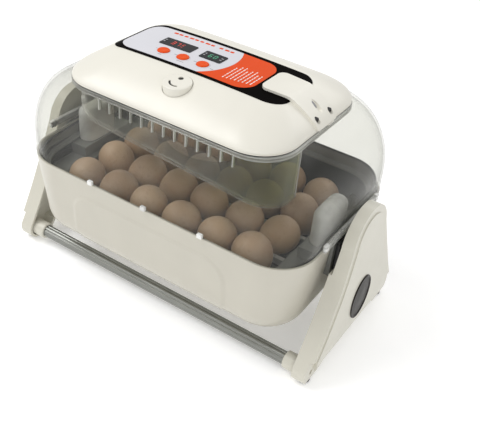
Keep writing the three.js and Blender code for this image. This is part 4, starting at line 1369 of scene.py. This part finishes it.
def guide_solid(name, inset, lift):
    """The space inside the guide's outer surface, or inside its wall, closed by the slanted end."""
    bottom = GUIDE_SLOT_Z - 36 * MM
    depth = 20 * MM
    rings = []
    for sine, cosine in quarter_turn(12):
        pull = 1 - sine
        z = bottom + lift + depth * (1 - cosine)
        rings.append(guide_ring(z, 26 * MM * pull, 24 * MM * pull, 14 * MM * pull, inset))
    rings.append(guide_ring(GUIDE_SLOT_Z, 0, 0, 0, inset))
    rings.append(guide_ring(GUIDE_SLOT_Z + 1.5 * MM, 0.7 * MM, 0.7 * MM, 0.7 * MM, inset))
    rings.append(guide_ring(GUIDE_HIGH.z + lift, 0.7 * MM, 0.7 * MM, 0.7 * MM, inset))
    obj = loft(name, rings)
    size = 0.3
    corners = [(-inset, 0), (size, 0), (size, size), (-inset, size)]
    turned = [
        (GUIDE_HIGH.x + x * math.cos(SLANT_ANGLE) - y * math.sin(SLANT_ANGLE),
         SLANT_Y + x * math.sin(SLANT_ANGLE) + y * math.cos(SLANT_ANGLE))
        for x, y in corners
    ]
    carve(obj, prism("beyond", turned, GUIDE_LOW.z - 0.02, GUIDE_HIGH.z + 0.02, "Z"))
    return obj


def build_guide():
    """The clear skirt under the unit, with an air slot band and an outlet in its floor."""
    pitch = 14 * MM
    obj = guide_solid("air_skirt", 0, 0)
    carve(obj, guide_solid("inside", GUIDE_WALL, GUIDE_WALL))
    slots = []
    for slot in range(12):
        x = (slot - 5.5) * pitch
        low = (x - 4 * MM, -0.1, GUIDE_SLOT_Z + 3 * MM)
        slots.append(box("slot", low, (x + 4 * MM, 0.1, GUIDE_HIGH.z - 6 * MM)))
    carve(obj, merge("slots", slots))
    outlet = [(50 * MM, GUIDE_LOW.z - 9 * MM), (50 * MM, GUIDE_LOW.z + 24 * MM)]
    carve(obj, lathe("outlet", outlet, (0, 0, 0), (0, 0, 1), 64))
    ribs = []
    for rib in range(13):
        x = (rib - 6) * pitch
        for sign in (-1, 1):
            if sign > 0 and x > 70 * MM:
                continue
            y = sign * (GUIDE_HIGH.y - 2 * MM)
            low = (x - 0.9 * MM, y - 1.6 * MM, GUIDE_SLOT_Z + 0.5 * MM)
            high = (x + 0.9 * MM, y + 1.6 * MM, GUIDE_HIGH.z - 2 * MM)
            ribs.append(rounded_bar("rib", low, high, 0.6 * MM))
    finish(merge("air_skirt_ribs", ribs), "control_unit", RIB_CLEAR)
    finish(obj, "control_unit", GUIDE_CLEAR, ["air_guide"])


def blade_section(radius, pitch, chord, sweep):
    """A cambered section across a blade, kept inside the fan's CAD cylinder."""
    low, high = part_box("fan")
    middle_z = (low.z + high.z) / 2
    section = []
    for along, thick in ((-0.5, 0), (-0.2, 0.8), (0.2, 0.8), (0.5, 0), (0.2, -0.4), (-0.2, -0.4)):
        across = along * chord * math.cos(pitch) - thick * MM * math.sin(pitch)
        up = along * chord * math.sin(pitch) + thick * MM * math.cos(pitch)
        up = max(low.z, min(high.z, middle_z + up))
        x = radius * math.cos(sweep) - across * math.sin(sweep)
        y = radius * math.sin(sweep) + across * math.cos(sweep)
        limit = high.x / max(math.hypot(x, y), high.x)
        section.append(Vector((x * limit, y * limit, up)))
    return section


def build_fan():
    """Six swept blades on a hub."""
    low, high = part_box("fan")
    hub = 15 * MM
    profile = [(hub - 2 * MM, low.z), (hub, low.z + 1.5 * MM), (hub, high.z - 1 * MM), (hub - 1 * MM, high.z)]
    parts = [lathe("hub", profile, (0, 0, 0), (0, 0, 1))]
    blades = 6
    for blade in range(blades):
        turn = 2 * math.pi * blade / blades
        rings = []
        for step in range(9):
            radius = hub - 1 * MM + (high.x - hub) * step / 8
            pitch = math.radians(34 - 14 * step / 8)
            chord = (13 + 6 * math.sin(math.pi * step / 8)) * MM
            rings.append(blade_section(radius, pitch, chord, turn + 0.25 * step / 8))
        parts.append(loft("blade", rings))
    obj = merge("fan_rotor", parts)
    make_normals_consistent(obj)
    finish(obj, "fan", LINER_GREY, ["fan"])


def dress_kept_nodes():
    looks = (
        (BLACK, 1.2, ("pivot_block_right", "pivot_block_left")),
        (FRAME_GREY, 0.6, ("pivot_frame_right", "pivot_frame_left", "unit_base")),
        (STEEL, 0.5, ("pivot_pin_right", "pivot_pin_left", "turning_motor", "fan_motor")),
        (BRONZE, 0.3, ("bearing_bush_right", "bearing_bush_left")),
        (NYLON, 0.2, ("drive_gear", "drive_pinion")),
        (STAND_CREAM, 0.4, ("stand_inner_cover_right",)),
        (BOARD_GREEN, 0.2, ("circuit_board",)),
        (HEATER, 0.2, ("heater_ring",)),
        (BLACK, 0.4, ("sensor_probe",)),
    )
    for material, rounding, names in looks:
        for name in names:
            keep_node(name, material, rounding * MM)


# ---------------------------------------------------------------- camera, light and floor
CAMERA_ANGLES = (30.28, 36.54, 5.59)  # round to the right, down, and rolled, in degrees
CAMERA_PLACE = (0.4014, -0.6027, 0.610)
CAMERA_LENS = 56.95
FLOOR_HALF = 4.0
FLOOR_GAP = 0.0004  # keeps the floor clear of the feet

def build_camera():
    azimuth, pitch, roll = (math.radians(angle) for angle in CAMERA_ANGLES)
    level = Vector((math.cos(azimuth), math.sin(azimuth), 0))
    forward = Vector((
        -math.sin(azimuth) * math.cos(pitch), math.cos(azimuth) * math.cos(pitch), -math.sin(pitch),
    ))
    upright = level.cross(forward)
    right = level * math.cos(roll) + upright * math.sin(roll)
    up = upright * math.cos(roll) - level * math.sin(roll)
    camera = bpy.data.cameras.new("camera")
    camera.lens = CAMERA_LENS
    camera.sensor_width = 36
    camera.clip_start = 0.02
    obj = bpy.data.objects.new("camera", camera)
    bpy.context.scene.collection.objects.link(obj)
    turn = Matrix((right, up, -forward)).transposed().to_4x4()
    obj.matrix_world = Matrix.Translation(CAMERA_PLACE) @ turn
    bpy.context.scene.camera = obj


def add_area_light(name, place, target, size, power):
    light = bpy.data.lights.new(name, "AREA")
    light.shape = "RECTANGLE"
    light.size, light.size_y = size
    light.energy = power
    obj = bpy.data.objects.new(name, light)
    bpy.context.scene.collection.objects.link(obj)
    aim = Vector(target) - Vector(place)
    obj.rotation_euler = aim.to_track_quat("-Z", "Y").to_euler()
    obj.location = place


def build_stage():
    """A pale floor, an even white surround and three soft lights."""
    corners = ((-1, -1), (1, -1), (1, 1), (-1, 1))
    points = [(x * FLOOR_HALF, y * FLOOR_HALF, 0) for x, y in corners]
    floor = make_object("floor", points, [(0, 1, 2, 3)])
    floor.location.z = -FLOOR_GAP
    material = surface("floor_paper", "f7f7f7", 0.7, grain=300, mottle=0.01)
    shader = material.node_tree.nodes["Principled BSDF"]
    shader.inputs["Emission Color"].default_value = (1, 1, 1, 1)
    shader.inputs["Emission Strength"].default_value = 0.25
    floor.data.materials.append(material)
    world = bpy.data.worlds.new("studio")
    world.use_nodes = True
    bpy.context.scene.world = world
    background = world.node_tree.nodes["Background"]
    background.inputs["Color"].default_value = (1, 1, 1, 1)
    background.inputs["Strength"].default_value = 0.66
    add_area_light("key", (-0.9, -0.55, 1.5), (0, 0, 0.1), (0.9, 0.9), 13)
    add_area_light("fill", (1.3, -1.1, 0.9), (0, 0, 0.1), (1.2, 1.0), 4)
    add_area_light("back", (0.2, 1.4, 1.2), (0, 0, 0.15), (1.4, 0.6), 5)
    bpy.context.scene.view_settings.view_transform = "Standard"


build_camera()
build_stage()
for build in (
    build_stands, build_badges, build_rods, build_tub, build_liner, build_tray, build_dividers,
    build_end_inserts, build_humps, build_eggs, build_dome, build_clips, build_housing, build_label,
):
    build()
build_display("temperature", "375", RED_DIGITS)
build_display("humidity", "60", GREEN_DIGITS)
for build in (
    build_print, build_buttons, build_knob, build_hood, build_connectors, build_latch, build_guide,
    build_fan, dress_kept_nodes,
):
    build()
